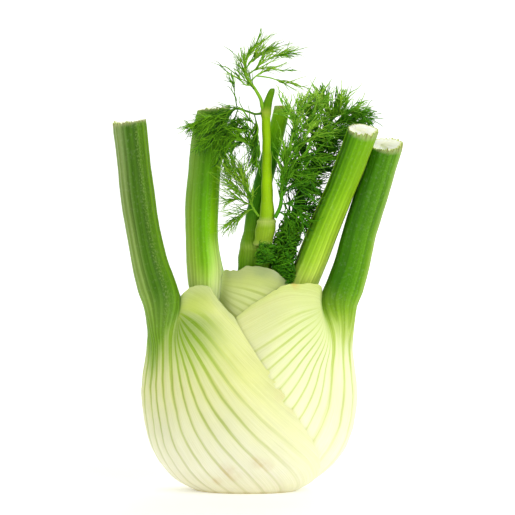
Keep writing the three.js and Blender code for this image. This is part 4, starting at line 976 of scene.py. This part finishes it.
def resample(points, count):  # even steps along a Catmull-Rom curve
    p = np.array(points, float)
    p = np.vstack([2 * p[0] - p[1], p, 2 * p[-1] - p[-2]])
    t = np.linspace(0, 1, 16, endpoint=False)[:, None]
    parts = []
    for a, b, c, d in zip(p[:-3], p[1:-2], p[2:-1], p[3:]):
        square, cube = 2 * a - 5 * b + 4 * c - d, 3 * b - a - 3 * c + d
        parts.append(0.5 * (2 * b + (c - a) * t + square * t ** 2 + cube * t ** 3))
    fine = np.vstack(parts + [p[-2:-1]])
    run = np.concatenate([[0], np.cumsum(np.linalg.norm(np.diff(fine, axis=0), axis=1))])
    even = np.linspace(0, run[-1], count)
    return np.stack([np.interp(even, run, fine[:, i]) for i in range(3)], -1), run[-1]


def onPath(path, spot):  # values at fractional steps along a path
    steps = np.arange(len(path))
    return np.stack([np.interp(spot, steps, path[:, i]) for i in range(3)], -1)


def pushOut(points, centre, room, top):  # points inside an upright stem move out to its skin
    offset = points[..., :2] - centre
    distance = np.linalg.norm(offset, axis=-1)
    scale = np.where((distance < room) & (points[..., 2] < top), room / np.maximum(distance, 0.3), 1)
    points[..., :2] = centre + offset * scale[..., None]


def pushClear(points):  # threads lie on the stalks they meet, never inside them
    z = points[..., 2]
    for leaf in leaves:
        centre = np.stack([leaf["stalkX"](z), leaf["stalkY"](z)], -1)
        pushOut(points, centre, leaf["stalkRadius"](z) * 1.1 + frondShape["room"], leaf["tip"] + 1)
    for stem in stems:
        rings = np.array(stem["rings"], float)
        centre = np.stack([np.interp(z, rings[:, 0], rings[:, i]) for i in (1, 2)], -1)
        pushOut(points, centre, np.interp(z, rings[:, 0], rings[:, 3]) + frondShape["room"], rings[-1, 0])
    return points


def turnAway(paths):  # threads that would cross in front of the shoot bend to the other side
    rings = np.array(stems[1]["rings"], float)
    z = paths[..., 2]
    gap = np.abs(paths[..., 0] - np.interp(z, rings[:, 0], rings[:, 1]))
    room = np.interp(z, rings[:, 0], rings[:, 3]) + frondShape["shootRoom"]
    crosses = ((gap < room) & (z < rings[-1, 0])).any(1) & (gap[:, 0] > room[:, 0])
    paths[crosses, :, 0] = 2 * paths[crosses, :1, 0] - paths[crosses, :, 0]
    return pushClear(paths)


def tubes(paths, radii, sides):  # many tubes at once: paths (n, steps, 3), radii (n, steps)
    n, steps = paths.shape[:2]
    along = unit(np.gradient(paths, axis=1))
    guide = np.where(np.abs(along[..., :1]) < 0.8, np.array([1.0, 0, 0]), np.array([0, 1.0, 0]))
    one = unit(np.cross(along, guide[:, :1]))
    two = np.cross(along, one)
    turn = np.arange(sides) / sides * 2 * math.pi
    ring = one[:, :, None] * np.cos(turn)[:, None] + two[:, :, None] * np.sin(turn)[:, None]
    points = paths[:, :, None] + ring * radii[:, :, None, None]
    index = np.arange(n * steps * sides).reshape(n, steps, sides)
    after = np.roll(index, -1, 2)
    faces = np.stack([index[:, :-1], after[:, :-1], after[:, 1:], index[:, 1:]], -1).reshape(-1, 4)
    return points.reshape(-1, 3), faces


def around(direction, lean, turn):  # unit vectors leaning off the given ones
    guide = np.where(np.abs(direction[..., 2:]) < 0.9, np.array([0, 0, 1.0]), np.array([1.0, 0, 0]))
    one = unit(np.cross(direction, guide))
    two = np.cross(direction, one)
    side = one * np.cos(turn)[..., None] + two * np.sin(turn)[..., None]
    return direction * np.cos(lean)[..., None] + side * np.sin(lean)[..., None]


def grow(draw, starts, directions, lengths, follow, droop, curl, steps):  # curved paths from starting points
    t = np.linspace(0, 1, steps)[:, None]
    bend = follow + draw.normal(0, curl, starts.shape) + np.array([0, 0, -droop])
    sway = draw.normal(0, curl, starts.shape)[:, None] * t * (1 - t) * (1 - 2 * t)
    shape = directions[:, None] * t + bend[:, None] * t * t * 0.5 + sway
    return starts[:, None] + lengths[:, None, None] * shape


class Bundle:  # gathers tubes and their tones into one mesh
    def __init__(self):
        self.points, self.faces, self.tone, self.reach, self.count = [], [], [], [], 0

    def add(self, paths, radii, sides, tone, reach):
        points, faces = tubes(paths, radii, sides)
        n, steps = paths.shape[:2]
        self.points.append(points)
        self.faces.append(faces + self.count)
        self.tone.append(np.repeat(tone, steps * sides))
        self.reach.append(np.tile(np.repeat(reach, sides), n))
        self.count += len(points)

    def finish(self, name):
        return makeObject(name, np.concatenate(self.points), np.concatenate(self.faces),
                          {"tone": np.concatenate(self.tone), "reach": np.concatenate(self.reach)}, 180)


def taper(n, root, tip, steps):
    return np.tile(np.linspace(root, tip, steps), (n, 1))


def addStem(bundle, frond, path, isRib):
    least, share = frondShape["ribTip"]
    most, half = frondShape["sideRoot"]
    root = frond["radius"] if isRib else min(most, frond["radius"] * half)
    tip = max(least, frond["radius"] * share) if isRib else frondShape["sideTip"]
    steps = len(path)
    tones = np.linspace(*frond["stemTone"], steps)
    bundle.add(path[None], taper(1, root, tip, steps), frondShape["stemSides"], np.array([0.5]), tones)


def addStrands(draw, bundle, frond, path, along, first, count):  # long single threads
    root, tip = frond["thick"]
    rings = frondShape["strandRings"]
    spot = draw.uniform(first, 1, count) * (len(path) - 1)
    heading = unit(onPath(along, spot))
    lean = np.radians(draw.uniform(*frond["lean"], count))
    aim = around(heading, lean, draw.uniform(0, 2 * math.pi, count))
    sizes = draw.uniform(*frond["strand"], count) * (1 - (1 - frond["tipShare"]) * spot / len(path))
    follow = heading * frondShape["strandFollow"]
    paths = grow(draw, onPath(path, spot), aim, sizes, follow, frond["hang"], frond["curl"], rings)
    tone = draw.uniform(0, 1, count)
    reach = np.linspace(*frondShape["strandReach"], rings)
    bundle.add(turnAway(paths), taper(count, root, tip, rings), frondShape["threadSides"], tone, reach)


def addThreads(draw, bundle, frond, twigs, places, tone):  # threads along each twig
    root, tip = frond["thick"]
    rings = frondShape["threadRings"]
    spans = twigs.shape[1] - 1
    many = draw.randint(frond["threads"][0], frond["threads"][1] + 1, len(twigs))
    owner = np.repeat(np.arange(len(twigs)), many)
    n = len(owner)
    share = draw.uniform(0.15, 0.95, n) * spans
    low = np.minimum(share.astype(int), spans - 1)
    part = (share - low)[:, None]
    starts = twigs[owner, low] * (1 - part) + twigs[owner, low + 1] * part
    heading = unit(twigs[owner, low + 1] - twigs[owner, low])
    lean = np.radians(draw.uniform(*frond["threadLean"], n))
    aim = around(heading, lean, draw.uniform(0, 2 * math.pi, n))
    sizes = draw.uniform(*frond["thread"], n) * (1.1 - 0.5 * share / spans)
    sizes = sizes * (1 - (1 - frond["tipShare"]) * places[owner])
    follow = heading * frondShape["threadFollow"]
    paths = grow(draw, starts, aim, sizes, follow, frond["droop"], frond["curl"], rings)
    spread = frondShape["toneSpread"]
    tone = np.clip(tone[owner] + draw.uniform(-spread, spread, n), 0, 1)
    reach = np.linspace(*frondShape["threadReach"], rings)
    bundle.add(turnAway(paths), taper(n, root, tip * 0.8, rings), frondShape["threadSides"], tone, reach)


def buildFrond(frond):
    draw = np.random.RandomState(frond["seed"])
    bundle = Bundle()
    root, tip = frond["thick"]
    rings = frondShape["twigRings"]
    for number, line in enumerate(frond["lines"]):
        path, length = resample(line, 8 * len(line))
        along = unit(np.gradient(path, axis=0))
        isRib = number == 0
        addStem(bundle, frond, path, isRib)
        first = frond["bare"] if isRib else frondShape["sideBare"]
        scarce = frondShape["scarce"] if number in frond["thin"] else 1
        count = max(3, int(length * (1 - first) / frond["twigEvery"] / scarce))
        places = np.sort(draw.uniform(first, 1, count))
        spot = places * (len(path) - 1)
        heading = unit(onPath(along, spot))
        lean = np.radians(draw.uniform(*frond["lean"], count)) * (1 - 0.5 * (places > 0.9))
        aim = around(heading, lean, draw.uniform(0, 2 * math.pi, count)) + np.array([0, 0, frond["bias"]])
        addStrands(draw, bundle, frond, path, along, first, int(frond["strands"] * length / scarce))
        sizes = draw.uniform(*frond["twig"], count) * (1.05 - (1 - frond["tipShare"]) * places)
        follow = heading * frond["follow"]
        twigs = grow(draw, onPath(path, spot), aim, sizes, follow, frond["droop"], frond["curl"], rings)
        twigs = turnAway(twigs)
        tone = draw.uniform(0, 1, count)
        reach = np.linspace(*frondShape["twigReach"], rings)
        bundle.add(twigs, taper(count, root * 1.15, tip, rings), frondShape["twigSides"], tone, reach)
        addThreads(draw, bundle, frond, twigs, places, tone)
    return bundle.finish(frond["name"] + "_threads")


# curly frond: packed threads curled about two lumps, which are rings like the stems'
curly = {
    "name": "frond_curly", "slot": "frond_dark", "seed": 67,
    "stem": [(11.9, -3.4, 100), (13.6, -3, 103.5), (15.4, -2.6, 107)],
    "bridge": [(14, -4, 105), (11, -7.6, 107.4), (7.6, -9, 109)],
    "lumps": [
        [(95.5, 16.8, -2.6, 2, 1.6), (99.6, 16, -2.7, 3.8, 2.6), (104, 15.2, -2.6, 4.8, 3.4),
         (109, 15.6, -2.6, 5, 4.2), (115, 17.2, -2.8, 5.4, 4.6), (120, 18.8, -3, 4.8, 4),
         (124, 20, -3, 2.4, 1.8)],
        [(106, 6.8, -8.4, 1.2, 0.9), (108.4, 7.2, -9.2, 3, 1.7), (111, 7.8, -9.8, 3.2, 2),
         (113, 8, -9.8, 1.6, 1.2)],
    ],
    "threads": (1000, 300), "reach": (1.2, 2.9), "fullHalf": 4.4, "sweep": (150, 290), "share": (0.3, 0.85),
    "thick": (0.3, 0.17), "stemThick": (0.9, 0.5), "stemRings": 14, "upward": (0.2, 0, 1.0),
    "swirl": 0.9, "rise": (-0.6, 0.8), "overSwirl": (0.3, 1), "overRise": (-0.2, 1),
}


def buildCurly(c):
    draw = np.random.RandomState(c["seed"])
    bundle = Bundle()
    root, tip = c["thick"]
    steps = c["stemRings"]
    rounds = frondShape["curlRings"]
    upward = np.array(c["upward"])
    for line in (c["stem"], c["bridge"]):
        path, _ = resample(line, steps)
        radii = taper(1, *c["stemThick"], steps)
        bundle.add(path[None], radii, frondShape["stemSides"], np.array([0.2]), np.linspace(0, 0.4, steps))
    for lump, count in zip(c["lumps"], c["threads"]):
        rings = np.array(lump, float)
        z = draw.uniform(rings[0, 0], rings[-1, 0], count)
        turn = draw.uniform(0, 2 * math.pi, count)
        x, y, halfX, halfY = (np.interp(z, rings[:, 0], rings[:, i]) for i in (1, 2, 3, 4))
        side = np.stack([np.cos(turn), np.sin(turn), 0 * turn], -1)
        share = draw.uniform(*c["share"], count)
        starts = np.stack([x + halfX * share * np.cos(turn), y + halfY * share * np.sin(turn), z], -1)
        swirl = np.stack([-np.sin(turn), np.cos(turn), 0 * turn], -1) * draw.choice([-1, 1], count)[:, None]
        out = side + c["swirl"] * swirl * draw.uniform(-1, 1, (count, 1))
        out = unit(out + upward * draw.uniform(*c["rise"], (count, 1)))
        over = swirl * draw.uniform(*c["overSwirl"], (count, 1))
        over = unit(over + upward * draw.uniform(*c["overRise"], (count, 1)))
        bend = draw.uniform(*c["reach"], count) * min(1, halfX.max() / c["fullHalf"])
        sweep = np.radians(draw.uniform(*c["sweep"], count))[:, None] * np.linspace(0, 1, rounds)
        curl = out[:, None] * np.sin(sweep)[..., None] + over[:, None] * (1 - np.cos(sweep))[..., None]
        paths = pushClear(starts[:, None] + bend[:, None, None] * curl)
        tone = draw.uniform(0, 1, count)
        radii = taper(count, root, tip, rounds)
        bundle.add(paths, radii, frondShape["threadSides"], tone, np.linspace(0, 1, rounds))
    return bundle.finish(c["name"] + "_threads")


# fennel frond: thin green threads with a waxy skin, yellower where young, with painted shade that darkens
# them near the stem and lower down where they crowd
def fennelFrond(name, s):
    material, tree = newMaterial(name)
    add = partial(addNode, tree)
    tone = add("Attribute", {"attribute_name": "tone"}, "Fac")
    reach = add("Attribute", {"attribute_name": "reach"}, "Fac")
    place = add("TexCoord", out="Object")
    patch = add("TexNoise", Vector=place, Scale=perMetre(frondShape["patch"]), Detail=2.0)
    shade = add("Math", timesPlus, _0=patch, _1=0.5, _2=tone)
    colour = add("ValToRGB", {"stops": s["tones"]}, Fac=shade)
    depth = add("ValToRGB", {"stops": [(0.1, 0.45), (0.6, 1.0)]}, Fac=reach)  # painted shade: darker near the stem, where the threads crowd
    colour = add("Mix", tint, 2, _0=1.0, _6=colour, _7=depth)
    young = add("ValToRGB", {"stops": [(0.3, 0.0), (1.0, s["youngTips"])]}, Fac=reach)
    colour = add("Mix", blend, 2, _0=young, _6=colour, _7=hexColour(s["tip"]))
    height = add("SeparateXYZ", out="Z", Vector=place)
    height = add("Math", times, _0=height, _1=perMetre(fullHeight))
    # painted shade: threads darker lower down, lighter towards the top
    heightShade = add("ValToRGB", {"stops": s["heightShade"]}, Fac=height)
    colour = add("Mix", tint, 2, _0=1.0, _6=colour, _7=heightShade)
    bump = add("Bump", Strength=0.3, Distance=0.1 * mm, Height=patch)
    shader = add("BsdfPrincipled", Base_Color=colour, Roughness=0.5, Normal=bump, Specular_IOR_Level=0.15)
    add("OutputMaterial", Surface=shader)
    return material


# tones run from shaded to lit threads; the ramp by height is painted shade, darker lower down, given as a
# share of the full height
frondTones = {
    "frond_right_slender": {
        "tones": [(0.1, "#2c6c06"), (0.55, "#68b81c"), (1.0, "#b4e04c")], "tip": "#b8e250",
        "youngTips": 0.5, "heightShade": [(.66, "#80b44c"), (.78, "#acd07c"), (.85, "#dcecc8"), (.9, "#ffffff")],
    },
    "frond_right_broad": {
        "tones": [(0.15, "#1c5204"), (0.55, "#4ca010"), (1.0, "#a4d834")], "tip": "#a0d838",
        "youngTips": 0.4, "heightShade": [(.6, "#6c9c38"), (.82, "#78a844"), (.86, "#a8cc88"), (.91, "#ffffff")],
    },
    "frond_left_upper": {
        "tones": [(0.1, "#0f3c02"), (0.5, "#307406"), (1.0, "#86c41e")], "tip": "#7cb81c", "youngTips": 0.3,
        "heightShade": [(.76, "#e0f0cc"), (.88, "#ffffff")],
    },
    "frond_curly": {
        "tones": [(0.1, "#123c02"), (0.5, "#3a840a"), (1.0, "#68ac14")], "tip": "#6cb01c", "youngTips": 0.3,
        "heightShade": [(.5, "#d8f0c0"), (.6, "#ffffff")],
    },
    "frond": {
        "tones": [(0.1, "#225c02"), (0.5, "#529a0a"), (1.0, "#9ccc30")], "tip": "#9cc838", "youngTips": 0.4,
        "heightShade": [(.6, "#ecf4dc"), (.8, "#ffffff")],
    },
}
for frond in fronds + [curly]:
    threads = buildCurly(frond) if frond is curly else buildFrond(frond)
    key = frond["name"] if frond["name"] in frondTones else frond["slot"]
    threads.data.materials.append(fennelFrond("fennelFrond_" + frond["name"][6:], frondTones[key]))
    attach(threads, "root")
    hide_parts(frond["name"])
    print("frond built:", frond["name"], len(threads.data.polygons), "faces")
